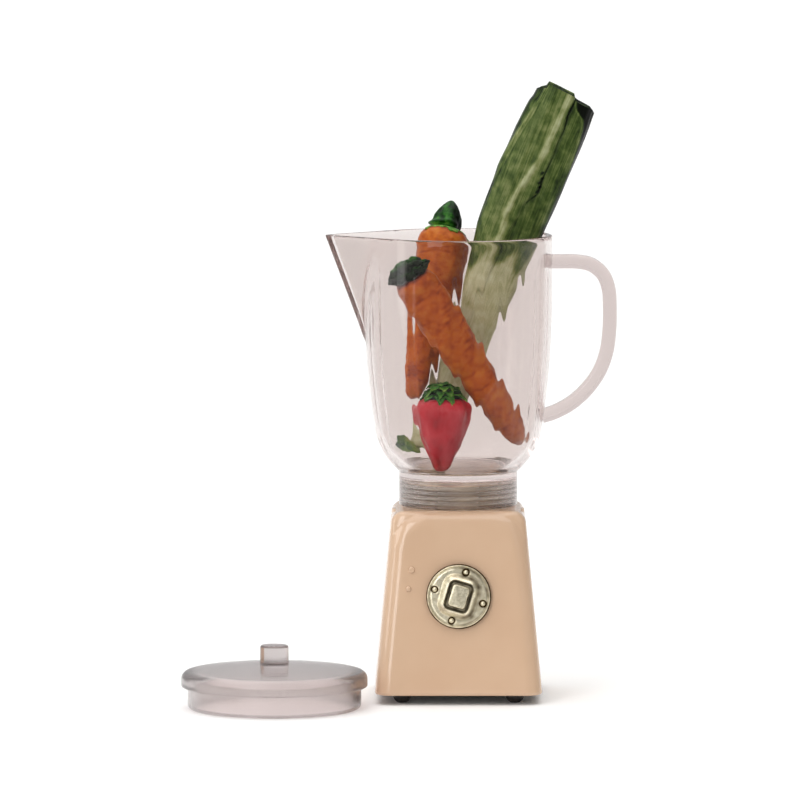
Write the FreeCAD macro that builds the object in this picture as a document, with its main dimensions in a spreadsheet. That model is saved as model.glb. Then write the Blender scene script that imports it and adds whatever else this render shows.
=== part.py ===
import FreeCAD, Part
import math
import os
import Sketcher
from FreeCAD import Placement, Rotation, Vector

# Doll-size toy blender, in millimetres. The jug's axis is the Z axis and z = 0 is the floor.
# The dial faces -Y, the spout points to -X and the handle to +X.

SIZES = [
    # die-cast housing
    ("foot_height", 1.8, "lower edge of the housing above the floor"),
    ("housing_height", 34.7, "housing from its lower edge to its flat top"),
    ("housing_bottom_width", 31.8, "square at the lower edge"),
    ("housing_top_width", 25.2, "square at the flat top, before rounding"),
    ("housing_wall", 1.2, "wall of the casting"),
    ("housing_corner_radius", 3.2, "upright corners"),
    ("housing_top_radius", 2.6, "edge round the flat top"),
    ("housing_foot_radius", 0.5, "lower outer edge"),
    ("upper_stud_radius", 0.6, "cast stud beside the dial"),
    ("upper_stud_left", 8.9, "its distance left of the axis"),
    ("upper_stud_z", 25.6, "its height"),
    ("lower_stud_radius", 0.5, "second cast stud"),
    ("lower_stud_left", 9.5, "its distance left of the axis"),
    ("lower_stud_z", 22.0, "its height"),
    ("stud_height", 0.35, "studs above the front face"),
    # base plate, its screws and the feet
    ("plate_thickness", 1.0, "base plate"),
    ("plate_recess", 0.4, "base plate above the housing's lower edge"),
    ("plate_gap", 0.2, "base plate to the housing's inner wall"),
    ("pillar_radius", 2.2, "screw pillar inside the housing"),
    ("pillar_inset", 5.5, "screw pillars inside the housing's lower edge"),
    ("pilot_depth", 6.0, "screw hole in a pillar"),
    ("plate_screw_radius", 0.8, "shank of a base plate screw"),
    ("plate_screw_length", 6.0, "shank below its head"),
    ("screw_head_radius", 1.6, "pan head of a base plate screw"),
    ("screw_head_height", 0.8, "pan head of a base plate screw"),
    ("screw_slot_width", 0.45, "slot across a screw head"),
    ("screw_play", 0.2, "screw shank to the hole it passes"),
    ("foot_inset", 5.2, "feet inside the housing's lower edge"),
    ("foot_radius", 1.7, "dome of a foot"),
    ("foot_flat_radius", 0.8, "flat that the foot stands on"),
    ("foot_stem_radius", 0.8, "stem pushed through the base plate"),
    ("foot_barb_radius", 1.2, "barb above the base plate"),
    ("foot_barb_height", 0.8, "barb above the base plate"),
    # turned spigot that carries the jug
    ("spigot_radius", 9.8, "ridges of the spigot"),
    ("spigot_height", 5.1, "spigot above the housing"),
    ("ridge_depth", 0.45, "grooves between the ridges"),
    ("ridge_count", 3, "ridges round the spigot"),
    ("spigot_chamfer", 0.5, "upper edge of the spigot"),
    ("register_radius", 4.0, "register in the hole of the housing"),
    ("register_play", 0.05, "register to that hole"),
    ("spigot_screw_radius", 0.9, "screw that holds the spigot"),
    ("spigot_screw_depth", 3.6, "screw in the spigot"),
    ("washer_radius", 6.0, "washer under the housing's top"),
    ("washer_thickness", 0.6, "washer under the housing's top"),
    ("spigot_head_radius", 1.9, "head of the spigot screw"),
    ("spigot_head_height", 1.2, "head of the spigot screw"),
    # dial on the front face
    ("dial_z", 20.6, "centre of the dial above the floor"),
    ("dial_radius", 6.15, "disc of the dial"),
    ("dial_thickness", 0.9, "disc of the dial"),
    ("dial_rim_width", 0.5, "raised rim of the disc"),
    ("dial_rim_height", 0.25, "raised rim above the disc"),
    ("dial_gap", 0.1, "disc to the front face"),
    ("dial_turn", 16.5, "degrees that the dial stands turned clockwise"),
    ("frame_width", 6.0, "raised frame at its foot"),
    ("frame_height", 7.2, "raised frame at its foot"),
    ("frame_slope", 0.55, "frame's sides lean in by this much"),
    ("frame_rise", 1.15, "raised frame above the disc"),
    ("well_width", 4.2, "recess in the frame"),
    ("well_height", 5.2, "recess in the frame"),
    ("well_floor", 0.3, "web left under the recess"),
    ("frame_corner", 1.7, "rounded corners of the frame"),
    ("well_corner", 0.9, "rounded corners of the recess"),
    ("hub_radius", 2.4, "hub of the dial, through the front wall"),
    ("hub_length", 3.8, "hub behind the front face"),
    ("hub_play", 0.06, "hub to the hole in the front wall"),
    ("hub_bore_radius", 1.75, "spring chamber in the hub"),
    ("hub_floor", 0.6, "end wall of the spring chamber"),
    ("clip_radius", 4.2, "push nut behind the front wall"),
    ("clip_thickness", 0.4, "push nut behind the front wall"),
    ("clip_gap", 0.15, "push nut to the front wall"),
    ("rivet_radius", 0.52, "domed rivet on the disc"),
    ("rivet_circle", 4.75, "circle of the rivets"),
    ("rivet_count", 4, "rivets on the disc"),
    ("rivet_dome", 0.38, "dome above the disc"),
    ("rivet_stem_radius", 0.3, "rivet in its hole"),
    # push button in the dial
    ("button_width", 3.3, "pad of the button"),
    ("button_height", 4.2, "pad of the button"),
    ("button_corner", 0.6, "rounded corners of the pad"),
    ("button_thickness", 0.95, "pad of the button"),
    ("button_sink", 0.1, "pad below the top of the frame"),
    ("button_stem_radius", 0.6, "stem through the hub's end wall"),
    ("button_stem_play", 0.06, "stem to its hole"),
    ("button_clip_radius", 1.3, "retaining washer on the stem"),
    ("button_clip_thickness", 0.3, "retaining washer on the stem"),
    ("stem_tail", 0.3, "stem beyond its washer"),
    ("spring_radius", 1.25, "mean radius of the spring's coils"),
    ("spring_wire", 0.14, "radius of the spring's wire"),
    ("spring_turns", 5, "coils of the spring"),
    ("spring_seat_gap", 0.05, "spring's ends to their seats"),
    # moulded jug
    ("socket_play", 0.2, "spigot to the jug's socket"),
    ("neck_wall", 1.28, "wall of the socket"),
    ("neck_height", 6.6, "socket's outside height"),
    ("neck_edge_radius", 0.7, "lower outer edge of the neck"),
    ("socket_headroom", 0.4, "socket above the spigot"),
    ("jug_wall", 1.2, "wall of the jug"),
    ("jug_height", 51.7, "jug from the housing's top to its rim"),
    ("rim_radius", 17.85, "outside of the rim"),
    ("straight_height", 12.4, "straight wall below the rim"),
    ("shoulder_drop", 25.6, "from the straight wall down to the shoulder"),
    ("shoulder_inset", 2.15, "shoulder inside the rim's radius"),
    ("shoulder_curve", 14.0, "radius of the lower bowl, outside"),
    ("floor_radius", 9.0, "flat floor inside the jug"),
    ("floor_thickness", 1.4, "floor above the socket"),
    ("rib_count", 24, "upright ribs inside the jug"),
    ("rib_width", 1.3, "a rib, across"),
    ("rib_depth", 0.45, "a rib, inward from the wall"),
    ("rib_drop", 6.6, "top of the ribs below the rim"),
    ("rib_phase", -1.5, "degrees that the ribs stand turned"),
    ("spout_reach", 25.4, "tip of the spout from the axis"),
    ("spout_drop", 20.1, "root of the spout below the rim"),
    ("spout_half_angle", 45.0, "side of the spout leaves the rim at this angle"),
    ("spout_tip", 0.8, "half width of the blunt tip"),
    # glued handle
    ("handle_top_drop", 5.1, "upper arm below the rim"),
    ("handle_foot_drop", 34.4, "lower arm below the rim"),
    ("handle_reach", 10.9, "back of the grip from the jug's wall"),
    ("handle_thickness", 2.67, "section in the handle's plane"),
    ("handle_width", 3.2, "section across"),
    ("handle_corner", 0.7, "rounded edges of the section"),
    ("handle_bend", 5.2, "upper bend"),
    ("handle_grip_curve", 42.0, "long curve of the grip"),
    ("handle_lower_bend", 11.5, "lower bend"),
    # lid, standing beside the base
    ("lid_x", -34.8, "lid's centre"),
    ("lid_y", -19.0, "lid's centre"),
    ("lid_play", 0.25, "skirt to the jug's mouth"),
    ("lid_wall", 1.2, "skirt and crown"),
    ("skirt_height", 4.2, "skirt below the flange"),
    ("skirt_edge_radius", 0.9, "lower outer edge of the skirt"),
    ("flange_radius", 17.6, "flange that rests on the rim"),
    ("flange_height", 1.2, "upright edge of the flange"),
    ("flange_round", 1.5, "rounded edge above it"),
    ("crown_rise", 1.4, "shallow dome above the flange"),
    ("knob_radius", 2.68, "knob"),
    ("knob_height", 3.8, "knob above the dome"),
    ("knob_round", 0.5, "upper edge of the knob"),
    # vegetables in the jug
    ("leek_length", 74.0, "leek from root to cut leaves"),
    ("leek_shaft_width", 8.9, "leek across, at a third of its length"),
    ("leek_leaf_width", 12.4, "leek across, at the cut leaves"),
    ("leek_leaf_thickness", 8.1, "leek's flattened leaves, front to back"),
    ("leek_leaf_step", 1.1, "inner leaves end below the outer one"),
    ("leek_fold_depth", 1.3, "outer leaf's edge above the leaf below it"),
    ("back_carrot_length", 32.5, "carrot that leans on the rear wall"),
    ("back_carrot_radius", 5.0, "its shoulder"),
    ("front_carrot_length", 39.3, "carrot that lies across the front"),
    ("front_carrot_radius", 4.2, "its shoulder"),
    ("stalk_radius", 2.9, "leaf stub of the rear carrot"),
    ("stalk_length", 6.9, "leaf stub of the rear carrot"),
    ("tuft_radius", 1.7, "leaf curl of the front carrot"),
    ("tuft_circle", 2.0, "circle of the leaf curls"),
    ("tuft_count", 6, "leaf curls"),
    ("berry_length", 15.2, "strawberry without its leaves"),
    ("berry_radius", 5.4, "strawberry's widest part"),
    ("sepal_count", 7, "leaves on the strawberry"),
    ("sepal_length", 4.7, "a leaf from the axis to its tip"),
    ("sepal_thickness", 1.3, "thickness of a leaf"),
    ("contents_gap", 0.45, "vegetables above the jug's floor"),
]

# Where each vegetable stands, with heights from the jug's floor: its lower end and the point
# its axis runs to.
LEEK_AXIS = (Vector(-6.15, 3.6, 3.2), Vector(20.25, 1.7, 71.6))
BACK_CARROT_AXIS = (Vector(-8.85, -1.8, 13.8), Vector(-3.15, 11.4, 46.0))
FRONT_CARROT_AXIS = (Vector(12.35, -1.5, 4.85), Vector(-9.0, -8.0, 37.3))
BERRY_SPOT = Vector(-3.1, -7.2, 0)

# Heights and radii that follow from the sizes.
HOUSING_TOP = "(dims.foot_height + dims.housing_height)"
PLATE_BOTTOM = "(dims.foot_height + dims.plate_recess)"
PLATE_TOP = "(dims.foot_height + dims.plate_recess + dims.plate_thickness)"
CEILING = "(dims.foot_height + dims.housing_height - dims.housing_wall)"
PILLAR_OFFSET = "(dims.housing_bottom_width / 2 - dims.pillar_inset)"
FOOT_SPREAD = "(dims.housing_bottom_width / 2 - dims.foot_inset)"
SPIGOT_TOP = "(dims.foot_height + dims.housing_height + dims.spigot_height)"
FACE_TILT = ("atan((dims.housing_bottom_width - dims.housing_top_width)"
             " / (2 * dims.housing_height))")
FACE_Y = ("(dims.housing_bottom_width / 2 - (dims.dial_z - dims.foot_height)"
          " * (dims.housing_bottom_width - dims.housing_top_width) / (2 * dims.housing_height))")
NECK_RADIUS = "(dims.spigot_radius + dims.socket_play + dims.neck_wall)"
NECK_TOP = "(dims.foot_height + dims.housing_height + dims.neck_height)"
SOCKET_TOP = f"({SPIGOT_TOP} + dims.socket_headroom)"
JUG_FLOOR = f"({SPIGOT_TOP} + dims.socket_headroom + dims.floor_thickness)"
RIM_Z = "(dims.foot_height + dims.housing_height + dims.jug_height)"
STRAIGHT_Z = f"({RIM_Z} - dims.straight_height)"
SHOULDER_Z = f"({RIM_Z} - dims.straight_height - dims.shoulder_drop)"
SHOULDER_RADIUS = "(dims.rim_radius - dims.shoulder_inset)"
SIDE_CURVE = "((dims.shoulder_drop ^ 2 + dims.shoulder_inset ^ 2) / (2 * dims.shoulder_inset))"
MOUTH_RADIUS = "(dims.rim_radius - dims.jug_wall)"
DISC_TOP = "(dims.dial_gap + dims.dial_thickness)"
FRAME_TOP = "(dims.dial_gap + dims.dial_thickness + dims.frame_rise)"
WELL_Z = "(dims.dial_gap + dims.well_floor)"
BUTTON_TOP = f"({FRAME_TOP} - dims.button_sink)"
BUTTON_BOTTOM = f"({BUTTON_TOP} - dims.button_thickness)"
CHAMBER_END = "(dims.hub_length - dims.hub_floor)"

doc = FreeCAD.newDocument("toy_blender")


def fill_sheet():
    sheet = doc.addObject("Spreadsheet::Sheet", "dims")
    for row, (name, size, meaning) in enumerate(SIZES, start=1):
        sheet.set(f"A{row}", meaning)
        sheet.set(f"B{row}", str(size))
        sheet.setAlias(f"B{row}", name)
    doc.recompute()
    return sheet


dims = fill_sheet()


def number(expression):
    """Value of an expression now, as a plain number."""
    result = dims.evalExpression(expression)
    return float(getattr(result, "Value", result))


def new_body(label):
    body = doc.addObject("PartDesign::Body", label)
    body.Label = label
    return body


def new_sketch(body, name, role="XZ_Plane", offset=None, turn=None):
    """Sketch on a plane of the body; offset moves it along its normal, turn is (axis, degrees)."""
    sketch = body.newObject("Sketcher::SketchObject", name)
    plane = next(item for item in body.Origin.OriginFeatures if item.Role == role)
    sketch.AttachmentSupport = (plane, "")
    sketch.MapMode = "FlatFace"
    if turn:
        sketch.AttachmentOffset = Placement(Vector(), Rotation(turn[0], 1))
        sketch.setExpression("AttachmentOffset.Rotation.Angle", turn[1])
    if offset:
        sketch.setExpression("AttachmentOffset.Base.z", offset)
    return sketch


def pin_point(sketch, run, end, x, y):
    """Holds one end of a run at (x, y), both expressions; "0" ties it to the sketch's own axis."""
    for kind, axis, distance in (("DistanceX", -2, x), ("DistanceY", -1, y)):
        if distance == "0":
            sketch.addConstraint(Sketcher.Constraint("PointOnObject", run, end, axis))
        else:
            index = sketch.addConstraint(
                Sketcher.Constraint(kind, -1, 1, run, end, number(distance)))
            sketch.setExpression(f"Constraints[{index}]", distance)


def bow(start, end, radius, side):
    """Arc from start to end; side +1 bows it to the left of the way it runs, -1 to the right."""
    chord = end - start
    half = chord.Length / 2
    rise = radius - math.sqrt(radius ** 2 - half ** 2)
    left = Vector(-chord.y, chord.x, 0).normalize()
    return Part.Arc(start, (start + end) / 2 + left * rise * side, end)


def draw(sketch, corners, bends=None, closed=True):
    """Runs through the corners; bends[i] = (radius, side) makes run i an arc, as in bow."""
    bends = bends or {}
    points = [Vector(number(x), number(y), 0) for x, y in corners]
    count = len(points) if closed else len(points) - 1
    ends = []
    for index in range(count):
        start, end = points[index], points[(index + 1) % len(points)]
        if index in bends:
            radius, side = bends[index]
            run = sketch.addGeometry(bow(start, end, number(radius), side))
            constraint = sketch.addConstraint(Sketcher.Constraint("Radius", run, number(radius)))
            sketch.setExpression(f"Constraints[{constraint}]", radius)
        else:
            run = sketch.addGeometry(Part.LineSegment(start, end))
        forward = (sketch.getPoint(run, 1) - start).Length < 1e-6
        ends.append((run, 1, 2) if forward else (run, 2, 1))
    for index, (run, first, last) in enumerate(ends):
        pin_point(sketch, run, first, *corners[index])
        if index + 1 < count or closed:
            following = ends[(index + 1) % count]
            sketch.addConstraint(
                Sketcher.Constraint("Coincident", run, last, following[0], following[1]))
        else:
            pin_point(sketch, run, last, *corners[index + 1])


def ring(sketch, radius, x="0", y="0"):
    """Circle with its centre at (x, y)."""
    centre = Vector(number(x), number(y), 0)
    circle = sketch.addGeometry(Part.Circle(centre, Vector(0, 0, 1), number(radius)))
    constraint = sketch.addConstraint(Sketcher.Constraint("Radius", circle, number(radius)))
    sketch.setExpression(f"Constraints[{constraint}]", radius)
    pin_point(sketch, circle, 3, x, y)


def rectangle(sketch, width, height):
    """Rectangle centred on the sketch's origin."""
    x, y = f"({width}) / 2", f"({height}) / 2"
    draw(sketch, [(f"-{x}", f"-{y}"), (x, f"-{y}"), (x, y), (f"-{x}", y)])


def rounded_rectangle(sketch, width, height, corner, rise="0"):
    """Rectangle with round corners; its centre lies at rise up the sketch."""
    x, y = f"({width}) / 2", f"({height}) / 2"
    flat_x, flat_y = f"({x} - {corner})", f"({y} - {corner})"
    draw(sketch, [
        (f"-{flat_x}", f"{rise} - {y}"), (flat_x, f"{rise} - {y}"),
        (x, f"{rise} - {flat_y}"), (x, f"{rise} + {flat_y}"),
        (flat_x, f"{rise} + {y}"), (f"-{flat_x}", f"{rise} + {y}"),
        (f"-{x}", f"{rise} + {flat_y}"), (f"-{x}", f"{rise} - {flat_y}"),
    ], {run: (corner, -1) for run in (1, 3, 5, 7)})


def extrude(body, name, sketch, length, cut=False, reverse=False, both_ways=False):
    feature = body.newObject("PartDesign::Pocket" if cut else "PartDesign::Pad", name)
    feature.Profile = sketch
    feature.setExpression("Length", length)
    feature.Reversed = reverse
    if both_ways:
        feature.SideType = "Symmetric"
    return feature


def revolve(body, name, corners, bends=None, cut=False):
    """Full turn of a profile in the body's XZ plane about its Z axis."""
    sketch = new_sketch(body, name + "_profile")
    draw(sketch, corners, bends)
    feature = body.newObject("PartDesign::Groove" if cut else "PartDesign::Revolution", name)
    feature.Profile = sketch
    feature.ReferenceAxis = (sketch, ["V_Axis"])
    feature.Angle = 360
    return feature


def loft(body, name, sections, cut=False, ruled=True):
    feature = body.newObject(
        "PartDesign::SubtractiveLoft" if cut else "PartDesign::AdditiveLoft", name)
    feature.Profile = sections[0]
    feature.Sections = sections[1:]
    feature.Ruled = ruled
    return feature


def around(body, name, feature, count):
    """The feature repeated evenly about the body's Z axis."""
    pattern = body.newObject("PartDesign::PolarPattern", name)
    pattern.Originals = [feature]
    axis = next(item for item in body.Origin.OriginFeatures if item.Role == "Z_Axis")
    pattern.Axis = (axis, [""])
    pattern.Angle = 360
    pattern.setExpression("Occurrences", count)
    body.Tip = pattern
    return pattern


def round_edges(body, name, radius, wanted):
    """Fillet on the edges of the body so far for which wanted(edge) is true."""
    doc.recompute()
    base = body.Tip
    edges = [f"Edge{index}" for index, edge in enumerate(base.Shape.Edges, start=1) if wanted(edge)]
    fillet = body.newObject("PartDesign::Fillet", name)
    fillet.Base = (base, edges)
    fillet.setExpression("Radius", radius)
    return fillet


def place(body, x="0", y="0", z="0", axis=None, angle=None):
    """Puts the body at (x, y, z), turned by angle about axis; all but the axis are expressions."""
    body.Placement = Placement(Vector(), Rotation(axis or Vector(0, 0, 1), 1 if angle else 0))
    for letter, position in zip("xyz", (x, y, z)):
        if position != "0":
            body.setExpression(f"Placement.Base.{letter}", position)
    if angle:
        body.setExpression("Placement.Rotation.Angle", angle)


def place_on_front(body):
    """The body's Z axis becomes the outward normal of the front face, at the dial's centre."""
    place(body, y=f"-{FACE_Y}", z="dims.dial_z", axis=Vector(1, 0, 0), angle=f"90 deg - {FACE_TILT}")


def is_upright(edge):
    """True for the leaning corner edges of a tapered box."""
    start, end = edge.Vertexes[0].Point, edge.Vertexes[-1].Point
    return abs(end.z - start.z) > 0.9 * edge.Length and edge.Length > 1


def lies_at(height):
    """Test for edges that lie level at a height."""
    return lambda edge: all(abs(vertex.Z - height) < 1e-4 for vertex in edge.Vertexes)


def tapered_square(body, name, bottom_width, bottom_z, top_z, cut=False):
    """Square that narrows upward with the housing's slope, added or cut out."""
    lower = new_sketch(body, name + "_square", "XY_Plane", offset=bottom_z)
    rectangle(lower, bottom_width, bottom_width)
    feature = extrude(body, name, lower, f"{top_z} - {bottom_z}", cut=cut, reverse=cut)
    feature.setExpression("TaperAngle", f"-{FACE_TILT}")
    return feature


def make_housing():
    body = new_body("housing")
    tapered_square(body, "outer_form", "dims.housing_bottom_width", "dims.foot_height",
                   HOUSING_TOP)
    round_edges(body, "corner_rounds", "dims.housing_corner_radius", is_upright)
    round_edges(body, "top_round", "dims.housing_top_radius", lies_at(number(HOUSING_TOP)))
    round_edges(body, "foot_round", "dims.housing_foot_radius",
                lies_at(number("dims.foot_height")))
    studs = new_sketch(body, "stud_circles", offset=FACE_Y,
                       turn=(Vector(1, 0, 0), f"-{FACE_TILT}"))
    studs.setExpression("AttachmentOffset.Base.y", "dims.dial_z")
    for name in ("upper", "lower"):
        rise = f"(dims.{name}_stud_z - dims.dial_z) / cos({FACE_TILT})"
        ring(studs, f"dims.{name}_stud_radius", f"-dims.{name}_stud_left", rise)
    extrude(body, "studs", studs, "dims.stud_height")
    doc.recompute()
    round_edges(body, "stud_rounds", "dims.stud_height * 0.8", is_stud_top)
    hollow_housing(body)
    return body


def is_stud_top(edge):
    """True for the two small circles on the studs' outer ends."""
    largest = max(number("dims.upper_stud_radius"), number("dims.lower_stud_radius"))
    if not isinstance(edge.Curve, Part.Circle) or edge.Curve.Radius > largest + 1e-6:
        return False
    tilt = math.radians(number(FACE_TILT))
    normal = Vector(0, -math.cos(tilt), math.sin(tilt))
    foot = Vector(0, -number(FACE_Y), number("dims.dial_z"))
    return (edge.Curve.Center - foot).dot(normal) > number("dims.stud_height") / 2


def hollow_housing(body):
    """Cavity, screw pillars and the holes for the spigot and the dial."""
    inside = "(dims.housing_bottom_width - 2 * dims.housing_wall)"
    tapered_square(body, "cavity", inside, "dims.foot_height", CEILING, cut=True)
    pillars = new_sketch(body, "pillar_circles", "XY_Plane", offset=PLATE_TOP)
    for side in ("", "-"):
        ring(pillars, "dims.pillar_radius", f"{side}{PILLAR_OFFSET}")
    extrude(body, "pillars", pillars, f"{CEILING} - {PLATE_TOP} + dims.housing_wall / 2")
    pilots = new_sketch(body, "pilot_circles", "XY_Plane", offset=PLATE_TOP)
    for side in ("", "-"):
        ring(pilots, "dims.plate_screw_radius", f"{side}{PILLAR_OFFSET}")
    extrude(body, "pilot_holes", pilots, "dims.pilot_depth", cut=True, reverse=True)
    top = new_sketch(body, "register_circle", "XY_Plane", offset=HOUSING_TOP)
    ring(top, "dims.register_radius + dims.register_play")
    extrude(body, "register_hole", top, "2 * dims.housing_wall", cut=True)
    front = new_sketch(body, "hub_circle", offset=FACE_Y,
                       turn=(Vector(1, 0, 0), f"-{FACE_TILT}"))
    front.setExpression("AttachmentOffset.Base.y", "dims.dial_z")
    ring(front, "dims.hub_radius + dims.hub_play")
    extrude(body, "hub_hole", front, "3 * dims.housing_wall", cut=True)


def make_base_plate():
    body = new_body("base_plate")
    lean = ("(dims.housing_bottom_width - dims.housing_top_width) / dims.housing_height"
            " * (dims.plate_recess + dims.plate_thickness)")
    width = f"dims.housing_bottom_width - 2 * (dims.housing_wall + dims.plate_gap) - {lean}"
    sheet = new_sketch(body, "plate_square", "XY_Plane", offset=PLATE_BOTTOM)
    rectangle(sheet, width, width)
    extrude(body, "plate", sheet, "dims.plate_thickness")
    holes = new_sketch(body, "plate_hole_circles", "XY_Plane", offset=PLATE_TOP)
    for side in ("", "-"):
        ring(holes, "dims.plate_screw_radius + dims.screw_play", f"{side}{PILLAR_OFFSET}")
        for depth in ("", "-"):
            ring(holes, "dims.foot_stem_radius",
                 f"{side}{FOOT_SPREAD}", f"{depth}{FOOT_SPREAD}")
    extrude(body, "plate_holes", holes, "2 * dims.plate_thickness", cut=True)
    return body


def make_foot(label, side, depth):
    """Rubber foot: a dome below the plate, a stem through it and a barb above."""
    body = new_body(label)
    revolve(body, "foot", [
        ("0", "0"), ("dims.foot_flat_radius", "0"),
        ("dims.foot_radius", "dims.foot_height * 0.6"), ("dims.foot_radius", PLATE_BOTTOM),
        ("dims.foot_stem_radius", PLATE_BOTTOM), ("dims.foot_stem_radius", PLATE_TOP),
        ("dims.foot_barb_radius", PLATE_TOP),
        ("dims.foot_stem_radius", f"{PLATE_TOP} + dims.foot_barb_height"),
        ("0", f"{PLATE_TOP} + dims.foot_barb_height"),
    ], bends={1: ("dims.foot_radius * 0.95", -1)})
    place(body, f"{side}{FOOT_SPREAD}", f"{depth}{FOOT_SPREAD}")
    return body


def make_plate_screws():
    """Two slotted pan-head screws, up through the plate into the pillars."""
    body = new_body("base_plate_screws")
    heads = new_sketch(body, "head_circles", "XY_Plane", offset=PLATE_BOTTOM)
    shanks = new_sketch(body, "shank_circles", "XY_Plane", offset=PLATE_BOTTOM)
    for side in ("", "-"):
        ring(heads, "dims.screw_head_radius", f"{side}{PILLAR_OFFSET}")
        ring(shanks, "dims.plate_screw_radius", f"{side}{PILLAR_OFFSET}")
    extrude(body, "heads", heads, "dims.screw_head_height", reverse=True)
    extrude(body, "shanks", shanks, "dims.plate_screw_length")
    slots = new_sketch(body, "slot_lines", "XY_Plane",
                       offset=f"{PLATE_BOTTOM} - dims.screw_head_height")
    rectangle(slots, f"2 * ({PILLAR_OFFSET} + dims.screw_head_radius + 1)",
              "dims.screw_slot_width")
    extrude(body, "slots", slots, "dims.screw_head_height / 2", cut=True, reverse=True)
    return body


def make_spigot():
    """Turned seat of the jug: ridges outside, a register in the housing, a blind screw hole."""
    body = new_body("spigot")
    count = int(number("dims.ridge_count"))
    groove = "(dims.spigot_radius - dims.ridge_depth)"
    pitch = f"((dims.spigot_height - dims.spigot_chamfer) / {count})"
    corners = [("0", CEILING), ("dims.register_radius", CEILING),
               ("dims.register_radius", HOUSING_TOP)]
    for ridge in range(count):
        low = f"{HOUSING_TOP} + {ridge} * {pitch}"
        corners += [(groove, low), ("dims.spigot_radius", f"{low} + 0.3 * {pitch}"),
                    ("dims.spigot_radius", f"{low} + 0.75 * {pitch}")]
    corners += [(groove, f"{HOUSING_TOP} + {count} * {pitch}"),
                (f"{groove} - dims.spigot_chamfer", SPIGOT_TOP), ("0", SPIGOT_TOP)]
    revolve(body, "turned_form", corners)
    hole = new_sketch(body, "screw_circle", "XY_Plane", offset=CEILING)
    ring(hole, "dims.spigot_screw_radius")
    extrude(body, "screw_hole", hole, "dims.spigot_screw_depth", cut=True, reverse=True)
    return body


def make_spigot_screw():
    body = new_body("spigot_screw")
    under = f"({CEILING} - dims.washer_thickness)"
    head = new_sketch(body, "head_circle", "XY_Plane", offset=under)
    ring(head, "dims.spigot_head_radius")
    extrude(body, "head", head, "dims.spigot_head_height", reverse=True)
    shank = new_sketch(body, "shank_circle", "XY_Plane", offset=under)
    ring(shank, "dims.spigot_screw_radius")
    extrude(body, "shank", shank, "dims.washer_thickness + dims.spigot_screw_depth")
    slot = new_sketch(body, "slot_line", "XY_Plane", offset=f"{under} - dims.spigot_head_height")
    rectangle(slot, "4 * dims.spigot_head_radius", "dims.screw_slot_width")
    extrude(body, "slot", slot, "dims.spigot_head_height / 2", cut=True, reverse=True)
    return body


def make_spigot_washer():
    body = new_body("spigot_washer")
    disc = new_sketch(body, "washer_circles", "XY_Plane", offset=CEILING)
    ring(disc, "dims.washer_radius")
    ring(disc, "dims.spigot_screw_radius + dims.screw_play")
    extrude(body, "washer", disc, "dims.washer_thickness", reverse=True)
    return body


def rounded_prism(body, name, size, foot, top, corner, lean="0", cut=False):
    """Upright block on the dial's axis, turned with the dial; its sides lean in by lean."""
    turn = (Vector(0, 0, 1), "-dims.dial_turn")
    width, height = size
    lower = new_sketch(body, name + "_foot", "XY_Plane", offset=foot, turn=turn)
    rounded_rectangle(lower, width, height, corner)
    upper = new_sketch(body, name + "_top", "XY_Plane", offset=top, turn=turn)
    rounded_rectangle(upper, f"({width} - 2 * {lean})", f"({height} - 2 * {lean})",
                      f"({corner} - {lean} / 2)")
    return loft(body, name, [lower, upper], cut=cut)


def make_dial():
    """Disc with a raised rim and frame, and a hollow hub that turns in the front wall."""
    body = new_body("dial")
    revolve(body, "disc", [
        ("0", "dims.dial_gap"), ("dims.dial_radius", "dims.dial_gap"),
        ("dims.dial_radius", f"{DISC_TOP}"),
        ("dims.dial_radius - dims.dial_rim_width / 2", f"{DISC_TOP} + dims.dial_rim_height"),
        ("dims.dial_radius - dims.dial_rim_width", DISC_TOP), ("0", DISC_TOP),
    ])
    rounded_prism(body, "frame", ("dims.frame_width", "dims.frame_height"), DISC_TOP, FRAME_TOP,
                  "dims.frame_corner", lean="dims.frame_slope")
    rounded_prism(body, "well", ("dims.well_width", "dims.well_height"), WELL_Z, FRAME_TOP,
                  "dims.well_corner", cut=True)
    hub = new_sketch(body, "hub_circle", "XY_Plane", offset="dims.dial_gap")
    ring(hub, "dims.hub_radius")
    extrude(body, "hub", hub, "dims.dial_gap + dims.hub_length", reverse=True)
    chamber = new_sketch(body, "chamber_circle", "XY_Plane", offset=WELL_Z)
    ring(chamber, "dims.hub_bore_radius")
    extrude(body, "spring_chamber", chamber, f"{WELL_Z} + {CHAMBER_END}", cut=True)
    stem = new_sketch(body, "stem_circle", "XY_Plane", offset=f"-{CHAMBER_END}")
    ring(stem, "dims.button_stem_radius + dims.button_stem_play")
    extrude(body, "stem_hole", stem, "2 * dims.hub_floor", cut=True)
    rivet = new_sketch(body, "rivet_circle", "XY_Plane", offset=DISC_TOP,
                       turn=(Vector(0, 0, 1), "-dims.dial_turn"))
    ring(rivet, "dims.rivet_stem_radius", "0", "dims.rivet_circle")
    hole = extrude(body, "rivet_hole", rivet, "dims.dial_thickness", cut=True)
    around(body, "rivet_holes", hole, "dims.rivet_count")
    place_on_front(body)
    return body


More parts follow.
